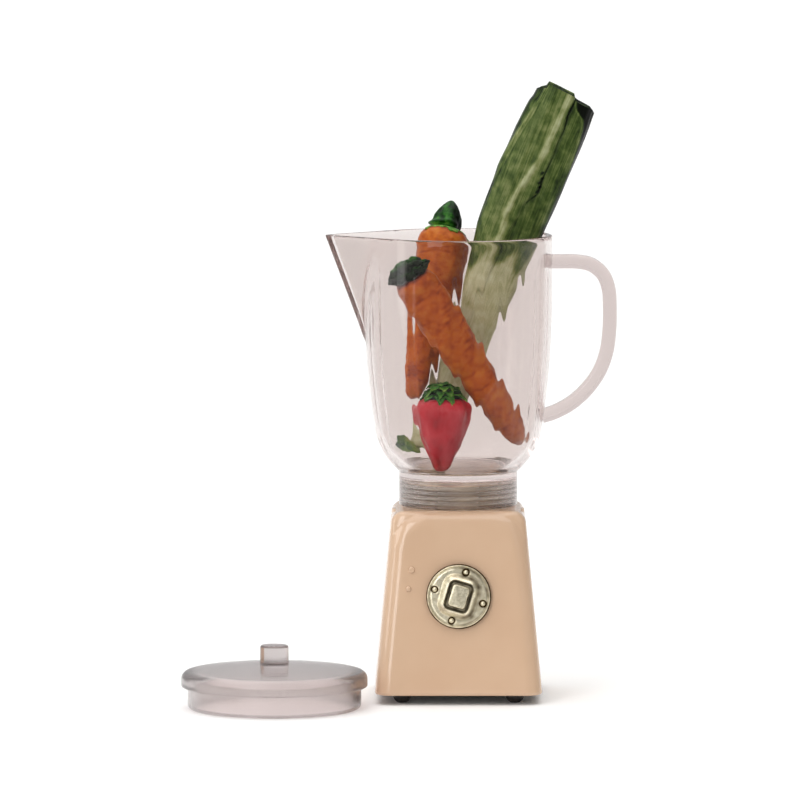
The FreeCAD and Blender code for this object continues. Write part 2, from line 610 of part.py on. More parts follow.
def make_dial_rivets():
    """Domed rivets, their stems in the disc's holes; one form, repeated about the axis."""
    body = new_body("dial_rivets")
    turn = (Vector(0, 0, 1), "-dims.dial_turn")
    stem = new_sketch(body, "stem_circle", "XY_Plane", offset="dims.dial_gap", turn=turn)
    ring(stem, "dims.rivet_stem_radius", "0", "dims.rivet_circle")
    stem_pad = extrude(body, "stem", stem, "dims.dial_thickness")
    dome = new_sketch(body, "dome_circle", "XY_Plane", offset=DISC_TOP, turn=turn)
    ring(dome, "dims.rivet_radius", "0", "dims.rivet_circle")
    dome_pad = extrude(body, "dome", dome, "dims.rivet_dome")
    crown = number(f"{DISC_TOP} + dims.rivet_dome")
    dome_round = round_edges(body, "dome_round", "dims.rivet_dome * 0.95", lies_at(crown))
    pattern = around(body, "rivets", stem_pad, "dims.rivet_count")
    pattern.Originals = [stem_pad, dome_pad, dome_round]
    place_on_front(body)
    return body


def flat_ring(label, outer, inner, high, thickness):
    """Washer about the dial's axis, its outer face at the height high."""
    body = new_body(label)
    disc = new_sketch(body, "ring_circles", "XY_Plane", offset=high)
    ring(disc, outer)
    ring(disc, inner)
    extrude(body, "ring", disc, thickness, reverse=True)
    place_on_front(body)
    return body


def make_button():
    """Pad in the frame's recess, with a stem out through the hub's end wall."""
    body = new_body("switch_button")
    rounded_prism(body, "pad", ("dims.button_width", "dims.button_height"), BUTTON_BOTTOM,
                  BUTTON_TOP, "dims.button_corner")
    stem = new_sketch(body, "stem_circle", "XY_Plane", offset=BUTTON_BOTTOM)
    ring(stem, "dims.button_stem_radius")
    extrude(body, "stem", stem, f"{BUTTON_BOTTOM} + dims.hub_length"
            " + dims.button_clip_thickness + dims.stem_tail", reverse=True)
    place_on_front(body)
    return body


def make_button_spring():
    """Open coil spring round the stem, between the hub's end wall and the pad."""
    body = new_body("button_spring")
    start = f"({CHAMBER_END} - dims.spring_wire - dims.spring_seat_gap)"
    wire = new_sketch(body, "wire_circle")
    ring(wire, "dims.spring_wire", "dims.spring_radius", f"-{start}")
    coil = body.newObject("PartDesign::AdditiveHelix", "coil")
    coil.Profile = wire
    coil.ReferenceAxis = (wire, ["V_Axis"])
    coil.Mode = "height-turns-angle"
    coil.setExpression("Height", f"{start} + {BUTTON_BOTTOM} - dims.spring_wire"
                       " - dims.spring_seat_gap")
    coil.setExpression("Turns", "dims.spring_turns")
    place_on_front(body)
    return body


def outer_jug_profile():
    """Outside of the jug's turned form, closed along the axis, and its bends."""
    corners = [
        ("0", HOUSING_TOP), (NECK_RADIUS, HOUSING_TOP), (NECK_RADIUS, NECK_TOP),
        (SHOULDER_RADIUS, SHOULDER_Z), ("dims.rim_radius", STRAIGHT_Z),
        ("dims.rim_radius", RIM_Z), ("0", RIM_Z),
    ]
    return corners, {2: ("dims.shoulder_curve", -1), 3: (SIDE_CURVE, -1)}


def spout_section(body, name, height, reach, inset):
    """V in plan: two sides that leave the rim's circle on a tangent and meet at a blunt tip."""
    sketch = new_sketch(body, name, "XY_Plane", offset=height)
    radius = f"(dims.rim_radius - {inset})"
    touch_x = f"-{radius} * cos(dims.spout_half_angle)"
    touch_y = f"{radius} * sin(dims.spout_half_angle)"
    tip = f"({reach} - {inset} * 1.4)"
    draw(sketch, [(touch_x, f"-{touch_y}"), (touch_x, touch_y), (f"-{tip}", "dims.spout_tip"),
                  (f"-{tip}", "-dims.spout_tip")])
    return sketch


def root_section(body, name, inset):
    """Small section where the spout runs out into the wall."""
    sketch = new_sketch(body, name, "XY_Plane", offset=f"{RIM_Z} - dims.spout_drop")
    outside = f"(dims.rim_radius - {inset} - 0.05)"
    inside = f"({outside} - 0.5)"
    draw(sketch, [(f"-{inside}", "-0.5"), (f"-{inside}", "0.5"), (f"-{outside}", "0.3"),
                  (f"-{outside}", "-0.3")])
    return sketch


def make_jug():
    body = new_body("jug")
    corners, bends = outer_jug_profile()
    revolve(body, "outside", corners, bends)
    rim = spout_section(body, "spout_rim", RIM_Z, "dims.spout_reach", "0")
    loft(body, "spout", [rim, root_section(body, "spout_root", "0")])
    inner_shoulder = f"({SHOULDER_RADIUS} - dims.jug_wall)"
    inner_curve = "(dims.shoulder_curve - dims.jug_wall)"
    revolve(body, "inside", [
        ("0", JUG_FLOOR), ("dims.floor_radius", JUG_FLOOR), (inner_shoulder, SHOULDER_Z),
        (MOUTH_RADIUS, STRAIGHT_Z), (MOUTH_RADIUS, f"{RIM_Z} + 1"), ("0", f"{RIM_Z} + 1"),
    ], {1: (inner_curve, -1), 2: (SIDE_CURVE, -1)}, cut=True)
    add_ribs(body, inner_shoulder, inner_curve)
    channel = spout_section(body, "channel_rim", f"{RIM_Z} + 0.01", "dims.spout_reach",
                            "dims.jug_wall")
    loft(body, "spout_channel", [channel, root_section(body, "channel_root", "dims.jug_wall")],
         cut=True)
    socket = new_sketch(body, "socket_circle", "XY_Plane", offset=HOUSING_TOP)
    ring(socket, "dims.spigot_radius + dims.socket_play")
    extrude(body, "socket", socket, f"{SOCKET_TOP} - {HOUSING_TOP}", cut=True, reverse=True)
    neck = number(NECK_RADIUS)

    def is_neck_edge(edge):
        return (lies_at(number(HOUSING_TOP))(edge) and isinstance(edge.Curve, Part.Circle)
                and abs(edge.Curve.Radius - neck) < 1e-4)

    round_edges(body, "neck_round", "dims.neck_edge_radius", is_neck_edge)
    return body


def add_ribs(body, inner_shoulder, inner_curve):
    """One upright rib that follows the inner wall down to the floor, then all of them."""
    overlap = "dims.jug_wall / 4"
    rib_top = f"({RIM_Z} - dims.rib_drop)"
    sketch = new_sketch(body, "rib_outline", turn=(Vector(0, 1, 0), "dims.rib_phase"))
    draw(sketch, [
        ("dims.floor_radius", f"{JUG_FLOOR} - {overlap}"),
        (f"{inner_shoulder} + {overlap}", SHOULDER_Z),
        (f"{MOUTH_RADIUS} + {overlap}", STRAIGHT_Z),
        (f"{MOUTH_RADIUS} + {overlap}", rib_top),
        (MOUTH_RADIUS, rib_top),
        (f"{MOUTH_RADIUS} - dims.rib_depth", f"{rib_top} - dims.rib_depth"),
        (f"{MOUTH_RADIUS} - dims.rib_depth", STRAIGHT_Z),
        (f"{inner_shoulder} - dims.rib_depth", SHOULDER_Z),
        ("dims.floor_radius", JUG_FLOOR),
    ], {0: (inner_curve, -1), 1: (SIDE_CURVE, -1), 6: (SIDE_CURVE, 1), 7: (inner_curve, 1)})
    rib = extrude(body, "rib", sketch, "dims.rib_width", both_ways=True)
    around(body, "ribs", rib, "dims.rib_count")


def make_jug_handle():
    """D-shaped grip swept along its plane; its ends are cut to the jug's outer form."""
    body = new_body("jug_handle")
    upper = f"({RIM_Z} - dims.handle_top_drop)"
    lower = f"({RIM_Z} - dims.handle_foot_drop)"
    back = "(dims.rim_radius + dims.handle_reach)"
    start = "(dims.rim_radius - 2 * dims.jug_wall)"
    bend = "dims.handle_bend"
    path = new_sketch(body, "handle_path")
    draw(path, [
        (start, upper), (f"{back} - {bend}", upper), (f"{back} - 0.15", f"{upper} - {bend}"),
        (f"{back} - 1.5", f"{lower} + 0.75 * dims.handle_lower_bend"),
        (f"{back} - 0.75 * dims.handle_lower_bend", f"{lower} + 0.09 * dims.handle_lower_bend"),
        (f"{start}", f"{lower} - 0.5"),
    ], {1: (f"{bend} * 1.02", 1), 2: ("dims.handle_grip_curve", 1),
        3: ("dims.handle_lower_bend", 1)}, closed=False)
    section = new_sketch(body, "handle_section", "YZ_Plane", offset=start)
    rounded_rectangle(section, "dims.handle_width", "dims.handle_thickness",
                      "dims.handle_corner", rise=upper)
    sweep = body.newObject("PartDesign::AdditivePipe", "grip")
    sweep.Profile = section
    sweep.Spine = path
    sweep.Transition = "Transformed"
    corners, bends = outer_jug_profile()
    revolve(body, "seat_cut", corners, bends, cut=True)
    return body


def make_lid():
    """Shallow crown with a plug skirt, a flange that rests on the rim, and a solid knob."""
    body = new_body("lid")
    skirt = f"({MOUTH_RADIUS} - dims.lid_play)"
    inside = f"({skirt} - dims.lid_wall)"
    edge = "dims.skirt_edge_radius"
    shelf = "dims.skirt_height"
    flange_top = "(dims.skirt_height + dims.flange_height + dims.flange_round)"
    crown = f"({flange_top} + dims.crown_rise)"
    dome = f"((dims.flange_radius ^ 2 + dims.crown_rise ^ 2) / (2 * dims.crown_rise))"
    knob_top = f"({crown} + dims.knob_height)"
    revolve(body, "turned_form", [
        ("0", f"{crown} - dims.lid_wall"),
        (inside, f"{flange_top} - dims.lid_wall"),
        (inside, "0"),
        (f"{skirt} - {edge}", "0"),
        (skirt, edge),
        (skirt, shelf),
        ("dims.flange_radius", shelf),
        ("dims.flange_radius", f"{shelf} + dims.flange_height"),
        ("dims.flange_radius - dims.flange_round", flange_top),
        ("dims.knob_radius", crown),
        ("dims.knob_radius", f"{knob_top} - dims.knob_round"),
        ("dims.knob_radius - dims.knob_round", knob_top),
        ("0", knob_top),
    ], {0: (dome, 1), 3: (edge, -1), 7: ("dims.flange_round", -1), 8: (dome, -1),
        10: ("dims.knob_round", -1)})
    place(body, "dims.lid_x", "dims.lid_y")
    return body


def stand_along(body, axis):
    """Puts the body's Z axis along a vegetable's axis, from its lower end in the jug."""
    foot, head = axis
    body.Placement = Placement(foot, Rotation(Vector(0, 0, 1), head - foot))
    body.setExpression("Placement.Base.z", f"{JUG_FLOOR} + {foot.z}")


def leaf_section(body, name, height, width, thickness, fold):
    """Outline across the leek; on each flat side the outer leaf's edge stands proud by fold."""
    sketch = new_sketch(body, name, "XY_Plane", offset=height)
    half, thin = f"({width}) / 2", f"({thickness}) / 2"
    way = [(-1, 0), (-0.62, -0.82), (0.3, -0.98), (0.42, -0.98), (0.8, -0.62)]
    sunk_corner = 3
    corners = []
    for side in (1, -1):
        for index, (across, deep) in enumerate(way):
            sunk = f" + {side} * ({fold})" if index == sunk_corner else ""
            corners.append((f"{half} * {side * across}", f"{thin} * {side * deep}{sunk}"))
    curves = {0: 0.7, 1: 1.3, 3: 0.9, 4: 0.55}
    bends = {run + shift: (f"{half} * {share}", -1)
             for run, share in curves.items() for shift in (0, len(way))}
    draw(sketch, corners, bends)
    return sketch


def make_leek():
    """White shaft that widens into flat folded leaves, cut off at the top."""
    body = new_body("leek")
    shaft, leaves = "dims.leek_shaft_width", "dims.leek_leaf_width"
    thickness = "dims.leek_leaf_thickness"
    loft(body, "stem", [
        leaf_section(body, "root", "0", f"{shaft} * 0.8", f"{shaft} * 0.7", "0.05"),
        leaf_section(body, "bulb", "dims.leek_length * 0.06", f"{shaft} * 0.92",
                     f"{shaft} * 0.78", "0.1"),
        leaf_section(body, "shaft", "dims.leek_length * 0.35", shaft, f"{shaft} * 0.78", "0.15"),
        leaf_section(body, "neck", "dims.leek_length * 0.6", f"{leaves} * 0.92", thickness,
                     "dims.leek_fold_depth * 0.5"),
        leaf_section(body, "leaves", "dims.leek_length", leaves, thickness,
                     "dims.leek_fold_depth"),
    ])
    shorter = new_sketch(body, "shorter_leaf", "XY_Plane", offset="dims.leek_length")
    near, far = f"{leaves} * 0.21", f"{leaves} * 0.6"
    draw(shorter, [(near, f"-{thickness}"), (far, f"-{thickness}"), (far, thickness),
                   (near, thickness)])
    extrude(body, "leaf_step", shorter, "dims.leek_leaf_step", cut=True)
    stand_along(body, LEEK_AXIS)
    return body


def carrot_profile(length, radius, tip):
    """Blunt tip, swelling flank and rounded shoulder, closed along the axis."""
    corners = [("0", "0"), (f"{radius} * {tip}", f"{length} * 0.03"),
               (f"{radius} * 0.8", f"{length} * 0.45"), (radius, f"{length} * 0.86"),
               (f"{radius} * 0.55", length), ("0", f"{length} * 0.985")]
    return corners, {1: (f"{length} * 2", -1), 2: (f"{length} * 2.5", -1),
                     3: (f"{radius} * 0.95", -1)}


def make_back_carrot():
    body = new_body("carrot_back")
    length, radius = "dims.back_carrot_length", "dims.back_carrot_radius"
    revolve(body, "root", *carrot_profile(length, radius, tip=0.34))
    revolve(body, "stalk", [
        ("0", f"{length} * 0.9"), ("dims.stalk_radius * 0.8", f"{length} * 0.95"),
        ("dims.stalk_radius", f"{length} + dims.stalk_length * 0.35"),
        ("dims.stalk_radius * 0.25", f"{length} + dims.stalk_length"),
        ("0", f"{length} + dims.stalk_length"),
    ])
    stand_along(body, BACK_CARROT_AXIS)
    return body


def make_front_carrot():
    body = new_body("carrot_front")
    length, radius = "dims.front_carrot_length", "dims.front_carrot_radius"
    revolve(body, "root", *carrot_profile(length, radius, tip=0.48))
    curl = body.newObject("PartDesign::AdditiveEllipsoid", "leaf_curl")
    curl.Placement = Placement(Vector(number("dims.tuft_circle"), 0, number(length)), Rotation())
    curl.setExpression("Placement.Base.x", "dims.tuft_circle")
    curl.setExpression("Placement.Base.z", f"{length} + dims.tuft_radius * 0.4")
    for axis, share in ((1, 1), (2, 1), (3, 0.9)):
        curl.setExpression(f"Radius{axis}", f"dims.tuft_radius * {share}")
    around(body, "leaf_curls", curl, "dims.tuft_count")
    stand_along(body, FRONT_CARROT_AXIS)
    return body


def make_strawberry():
    body = new_body("strawberry")
    length, radius = "dims.berry_length", "dims.berry_radius"
    revolve(body, "fruit", [
        ("0", "0"), (f"{radius} * 0.3", f"{length} * 0.02"), (f"{radius} * 0.86", f"{length} * 0.55"),
        (radius, f"{length} * 0.8"), (f"{radius} * 0.6", length), ("0", length),
    ], {1: (f"{length} * 1.5", -1), 2: (f"{length}", -1), 3: (f"{radius} * 0.8", -1)})
    cap_z = f"({length} - dims.sepal_thickness / 3)"
    disc = new_sketch(body, "calyx_circle", "XY_Plane", offset=cap_z)
    ring(disc, "dims.sepal_length * 0.4")
    extrude(body, "calyx", disc, "dims.sepal_thickness * 1.4")
    leaf = new_sketch(body, "sepal_outline", "XY_Plane", offset=cap_z)
    near, far = "dims.sepal_length * 0.2", "dims.sepal_length"
    draw(leaf, [(near, "0"), (far, "0")],
         {0: ("dims.sepal_length * 0.55", 1), 1: ("dims.sepal_length * 0.55", 1)})
    sepal = extrude(body, "sepal", leaf, "dims.sepal_thickness")
    around(body, "sepals", sepal, "dims.sepal_count")
    place(body, str(BERRY_SPOT.x), str(BERRY_SPOT.y), f"{JUG_FLOOR} + dims.contents_gap")
    return body


def build_all():
    parts = [make_housing(), make_base_plate()]
    for front_back, depth in (("front", "-"), ("back", "")):
        for left_right, side in (("left", "-"), ("right", "")):
            parts.append(make_foot(f"foot_{front_back}_{left_right}", side, depth))
    parts += [make_plate_screws(), make_spigot(), make_spigot_screw(), make_spigot_washer()]
    parts += [make_dial(), make_dial_rivets(), make_button(), make_button_spring()]
    wall_back = "-(dims.housing_wall + dims.clip_gap)"
    parts.append(flat_ring("dial_clip", "dims.clip_radius", "dims.hub_radius", wall_back,
                           "dims.clip_thickness"))
    parts.append(flat_ring("button_clip", "dims.button_clip_radius", "dims.button_stem_radius",
                           "-dims.hub_length", "dims.button_clip_thickness"))
    parts += [make_jug(), make_jug_handle(), make_lid()]
    parts += [make_leek(), make_back_carrot(), make_front_carrot(), make_strawberry()]
    return parts


def check(parts):
    failed = [item.Label for item in doc.Objects
              if "Invalid" in item.State or "Error" in item.State]
    failed += [part.Label for part in parts if part.Shape.isNull() or not part.Shape.isValid()]
    if failed:
        raise RuntimeError("failed objects: " + ", ".join(failed))


def write(parts):
    os.makedirs("parts", exist_ok=True)
    for part in parts:
        part.Shape.exportStep(os.path.join("parts", part.Label + ".step"))
        box = part.Shape.BoundBox
        print(f"{part.Label:18s} solids {len(part.Shape.Solids)}  volume {part.Shape.Volume:9.1f}"
              f"  x {box.XMin:7.2f} {box.XMax:7.2f}  y {box.YMin:7.2f} {box.YMax:7.2f}"
              f"  z {box.ZMin:7.2f} {box.ZMax:7.2f}")


sub_parts = build_all()
doc.recompute()
check(sub_parts)
write(sub_parts)
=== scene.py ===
import math

import bmesh
import bpy
import numpy as np
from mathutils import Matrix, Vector


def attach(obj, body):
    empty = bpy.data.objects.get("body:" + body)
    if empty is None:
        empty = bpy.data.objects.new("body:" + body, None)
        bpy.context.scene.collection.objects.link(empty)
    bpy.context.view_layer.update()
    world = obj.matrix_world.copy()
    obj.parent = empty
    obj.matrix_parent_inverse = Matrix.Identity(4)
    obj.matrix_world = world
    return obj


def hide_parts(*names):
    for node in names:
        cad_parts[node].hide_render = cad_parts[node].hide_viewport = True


# Toy blender with its jug, lid and toy vegetables. Shapes are worked out in millimetres
# and put into the meshes in metres. The dial faces -Y, the spout -X, the handle +X.

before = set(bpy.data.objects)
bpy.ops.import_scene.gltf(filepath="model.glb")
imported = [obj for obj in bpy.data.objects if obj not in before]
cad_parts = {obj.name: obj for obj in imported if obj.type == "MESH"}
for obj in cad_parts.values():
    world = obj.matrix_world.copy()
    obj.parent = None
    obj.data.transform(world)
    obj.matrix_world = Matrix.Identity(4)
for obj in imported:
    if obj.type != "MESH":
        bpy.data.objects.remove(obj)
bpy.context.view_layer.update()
print("frame loaded")

millimetre = 0.001
closeBy = 1e-7  # metres within which corners count as one
fullTurn = 2 * math.pi


def unit(vector):
    # the vector over its own length
    return vector / np.linalg.norm(vector)


def smoothStep(low, high, value):
    # 0 below low, 1 above high, and 3t^2 - 2t^3 between them
    t = np.clip((value - low) / (high - low), 0, 1)
    return t * t * (3 - 2 * t)


def bump(distance, width):
    # a bell of height 1: e to the power of minus the square of distance over width
    return np.exp(-(distance / width) ** 2)


def softNoise(points, wavelength, seed, waves=24):
    # sum of sines along random directions, scaled so that its spread is about 1
    random = np.random.default_rng(seed)
    directions = random.normal(size=(waves, 3))
    directions /= np.linalg.norm(directions, axis=1)[:, None]
    steps = fullTurn / wavelength * random.uniform(0.6, 1.5, waves)
    phases = random.uniform(0, fullTurn, waves)
    waving = np.sin(points @ (directions * steps[:, None]).T + phases)
    return waving.sum(-1) / math.sqrt(waves / 2)


def roundTurn(columns):
    # angles round a full turn, evenly spaced
    return np.arange(columns) / columns * fullTurn


def roundAxis(radius, turn, height):
    # points at a radius, angle and height from the Z axis
    return np.stack(np.broadcast_arrays(radius * np.cos(turn), radius * np.sin(turn), height), -1)


def arcPoints(start, end, radius, side, steps):
    # points of the arc from start to end; side 1 bows it to the left of its way, -1 to the right
    start, end = np.array(start, float), np.array(end, float)
    chord = end - start
    half = np.linalg.norm(chord) / 2
    left = np.array([-chord[1], chord[0]]) / (2 * half)
    centre = (start + end) / 2 - left * side * math.sqrt(radius ** 2 - half ** 2)
    first = math.atan2(*(start - centre)[::-1])
    last = math.atan2(*(end - centre)[::-1])
    last = first + (last - first + math.pi) % fullTurn - math.pi
    turn = np.linspace(first, last, steps)
    return centre + radius * np.stack([np.cos(turn), np.sin(turn)], -1)


def roundedProfile(corners, steps=6, support=0.12):
    # a line through (across, up, radius) corners; each corner is cut back by its radius over
    # the tangent of half its angle, and an arc of that radius takes its place
    places = [np.array(corner[:2], float) for corner in corners]
    line = [places[0]]
    for before, corner, after, (_, _, radius) in zip(places, places[1:], places[2:], corners[1:]):
        if radius == 0:
            line.append(corner)
            continue
        back, ahead = unit(before - corner), unit(after - corner)
        half = math.acos(np.clip(back @ ahead, -1, 1)) / 2
        cut = radius / math.tan(half)
        centre = corner + unit(back + ahead) * radius / math.sin(half)
        first, last = corner + back * cut - centre, corner + ahead * cut - centre
        sweep = math.pi - 2 * half
        for t in np.linspace(0, 1, steps + 1):
            mixed = math.sin((1 - t) * sweep) * first + math.sin(t * sweep) * last
            line.append(centre + mixed / math.sin(sweep))
    line.append(places[-1])
    full = [line[0]]
    for start, end in zip(line, line[1:]):
        length = np.linalg.norm(end - start)
        if length > 3 * support:  # points near both ends keep the shading of flats flat
            step = (end - start) * support / length
            full += [start + step, end - step]
        full.append(end)
    return np.array(full)


def turned(profile, columns):
    # profile (radius, height) carried round the Z axis
    return roundAxis(np.maximum(profile[:, :1], 0.02), roundTurn(columns), profile[:, 1:])


def standAlong(grid, foot, head):
    # turns the Z axis into the line from foot to head and moves the origin to foot
    foot, head = Vector(foot), Vector(head)
    matrix = np.array(Vector((0, 0, 1)).rotation_difference(head - foot).to_matrix())
    return grid @ matrix.T + np.array(foot)


def outlinePoints(width, height, corner, perCorner, perSide):
    # rectangle with round corners, counterclockwise from the middle of its right side
    x, y = width / 2 - corner, height / 2 - corner
    points = []
    for middle, start in (((x, y), 0), ((-x, y), 90), ((-x, -y), 180), ((x, -y), 270)):
        turn = np.radians(start + np.linspace(0, 90, perCorner))
        points.append(np.array(middle) + corner * np.stack([np.cos(turn), np.sin(turn)], -1))
    ring = []
    for arc, following in zip(points, points[1:] + points[:1]):
        share = np.linspace(0, 1, perSide + 2)[1:-1, None]
        ring += [arc, arc[-1] + (following[0] - arc[-1]) * share]
    return np.concatenate(ring)


def shell(grid, wrapRows=False, fields=None):
    # faces of a grid whose columns close round; both ends get a fan from the middle of their
    # row, unless the rows close round too
    rows, columns = grid.shape[:2]
    places = grid.reshape(-1, 3)
    low = np.arange(rows if wrapRows else rows - 1)[:, None]
    left = np.arange(columns)[None, :]
    high, right = (low + 1) % rows, (left + 1) % columns
    low, high = low * columns, high * columns
    quads = np.stack([low + left, low + right, high + right, high + left], -1).reshape(-1, 4)
    fans, ends = [np.zeros((0, 3), int)], []
    for row in () if wrapRows else (0, rows - 1):
        ring = row * columns + np.arange(columns)
        following = row * columns + (np.arange(columns) + 1) % columns
        pair = (following, ring) if row == 0 else (ring, following)
        fans.append(np.stack([*pair, np.full(columns, len(places) + len(ends))], -1))
        ends.append(row)
    values = {}
    for name, field in (fields or {}).items():
        flat = field.reshape(rows * columns, -1)
        middles = [field[row].reshape(columns, -1).mean(0) for row in ends]
        values[name] = np.concatenate([flat, *[middle[None] for middle in middles]])
    places = np.concatenate([places, *[grid[row].mean(0)[None] for row in ends]])
    fan = np.concatenate(fans)
    triangles = np.concatenate([quads[:, :3], quads[:, [0, 2, 3]], fan])
    a, b, c = (places[triangles[:, corner]] for corner in range(3))
    if (a * np.cross(b, c)).sum() < 0:  # signed volume: negative means inside out
        quads, fan = quads[:, ::-1], fan[:, ::-1]
    return places, quads, fan, values


def addObject(name, data):
    # an object around its data, in the scene's collection
    made = bpy.data.objects.new(name, data)
    bpy.context.scene.collection.objects.link(made)
    return made


def makeObject(name, shells, material):
    # joins shells into one mesh with smooth faces
    places, faces, values, count = [], [], {}, 0
    for own, quads, fan, fields in shells:
        places.append(own)
        faces += (quads + count).tolist() + (fan + count).tolist()
        count += len(own)
        for key, field in fields.items():
            values.setdefault(key, []).append(field)
    mesh = bpy.data.meshes.new(name)
    mesh.from_pydata((np.concatenate(places) * millimetre).tolist(), [], faces)
    mesh.polygons.foreach_set("use_smooth", np.ones(len(mesh.polygons), bool))
    for key, parts in values.items():
        field = np.concatenate(parts)
        kind, slot = ("FLOAT_VECTOR", "vector") if field.shape[1] == 3 else ("FLOAT", "value")
        attribute = mesh.attributes.new(key, kind, "POINT")
        attribute.data.foreach_set(slot, field.astype(np.float32).ravel())
    mesh.materials.append(material)
    return addObject(name, mesh)


def dress(piece, body, slotName, *nodes):
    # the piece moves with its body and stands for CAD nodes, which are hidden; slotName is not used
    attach(piece, body)
    if nodes:
        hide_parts(*nodes)
    print("made", piece.name)
    return piece


def linear(hexText):
    # sRGB to linear: c / 12.92 up to 0.04045, else ((c + 0.055) / 1.055) to the power 2.4
    levels = [int(hexText[place:place + 2], 16) / 255 for place in (1, 3, 5)]
    return (*[c / 12.92 if c <= 0.04045 else ((c + 0.055) / 1.055) ** 2.4 for c in levels], 1)


def addNode(tree, kind, settings=None, links=()):
    # settings name the node's own sockets or properties; links are pairs of a socket and what
    # feeds it, an output or a node, which then gives its first output
    node = tree.nodes.new("ShaderNode" + kind)
    for key, value in (settings or {}).items():
        if key == "stops":
            ramp = node.color_ramp.elements
            while len(ramp) < len(value):
                ramp.new(0.5)
            for element, (place, colour) in zip(ramp, value):
                element.position, element.color = place, linear(colour)
        elif isinstance(key, int) or key in node.inputs:
            node.inputs[key].default_value = value
        else:
            setattr(node, key, value)
    for socket, source in links:
        output = source.outputs[0] if hasattr(source, "outputs") else source
        tree.links.new(output, node.inputs[socket])
    return node


def newMaterial(name):
    # a material with an empty node tree
    made = bpy.data.materials.new(name)
    made.use_nodes = True
    made.node_tree.nodes.clear()
    return made, made.node_tree


enamelLook = {"paint": "#ceac8e", "paler": "#d1b092", "cloudMm": 9.0, "roughness": 0.22,
              "coat": 0.4, "coatRoughness": 0.1,
              "peelMm": 0.9, "peelStrength": 0.02, "peelDepthMm": 0.1}


def sprayedEnamel():
    # sprayed enamel on a zinc casting: an even satin gloss with a faint orange peel
    made, tree = newMaterial("sprayedEnamel")
    place = addNode(tree, "TexCoord")
    cloud = addNode(tree, "TexNoise", {"Scale": 1000 / enamelLook["cloudMm"], "Detail": 2.0},
                    [("Vector", place.outputs["Object"])])
    colour = addNode(tree, "ValToRGB",
                     {"stops": [(0.35, enamelLook["paint"]), (0.65, enamelLook["paler"])]},
                     [("Fac", cloud)])
    peel = addNode(tree, "TexNoise", {"Scale": 1000 / enamelLook["peelMm"], "Detail": 1.0},
                   [("Vector", place.outputs["Object"])])
    relief = addNode(tree, "Bump", {"Strength": enamelLook["peelStrength"],
                                    "Distance": enamelLook["peelDepthMm"] * millimetre},
                     [("Height", peel)])
    shader = addNode(tree, "BsdfPrincipled",
                     {"Roughness": enamelLook["roughness"], "IOR": 1.5,
                      "Coat Weight": enamelLook["coat"],
                      "Coat Roughness": enamelLook["coatRoughness"]},
                     [("Base Color", colour), ("Normal", relief)])
    addNode(tree, "OutputMaterial", links=[("Surface", shader)])
    return made


plasticLooks = {  # colour lost at each wall, colour lost along the way through it, haze
    "jugPlastic": {"tint": "#e5dedc", "volume": "#d8c8c4", "density": 25.0, "roughness": 0.0},
    "frostedPlastic": {"tint": "#e6ded7", "volume": "#d8c8c4", "density": 25.0, "roughness": 0.5},
    "handlePlastic": {"tint": "#ddd3d1", "volume": "#c8b8b4", "density": 110.0, "roughness": 0.05},
    "lidPlastic": {"tint": "#e0dad9", "volume": "#bcb6b6", "density": 115.0, "roughness": 0.18}}
allPlastic = {"lamp": "#eae4e4", "ior": 1.49, "glare": "#a2a2a2"}  # light let through, and shine


def clearPlastic(name):
    # injection-moulded clear plastic, faintly mauve: see-through, darker where the wall is long
    made, tree = newMaterial(name)
    look = plasticLooks[name]
    shader = addNode(tree, "BsdfPrincipled",
                     {"Base Color": linear(look["tint"]), "Transmission Weight": 1.0,
                      "Roughness": look["roughness"], "IOR": allPlastic["ior"],
                      "Specular Tint": linear(allPlastic["glare"])})
    ray = addNode(tree, "LightPath")
    film = addNode(tree, "BsdfTransparent", {"Color": linear(allPlastic["lamp"])})
    mixed = addNode(tree, "MixShader",
                    links=[(0, ray.outputs["Is Shadow Ray"]), (1, shader),
                           (2, film)])
    depth = addNode(tree, "VolumeAbsorption",
                    {"Color": linear(look["volume"]), "Density": look["density"]})
    addNode(tree, "OutputMaterial", links=[("Surface", mixed), ("Volume", depth)])
    return made


silverLook = {"bright": "#f0e7ce", "dull": "#d0c6a9", "patinaAndShade": "#4a3820", "roughness": 0.37,
              "patinaRoughness": 0.7, "grainMm": 0.5, "grainStrength": 0.25, "grainDepthMm": 0.05,
              "patinaFrom": 0.2, "patinaTo": 0.85}


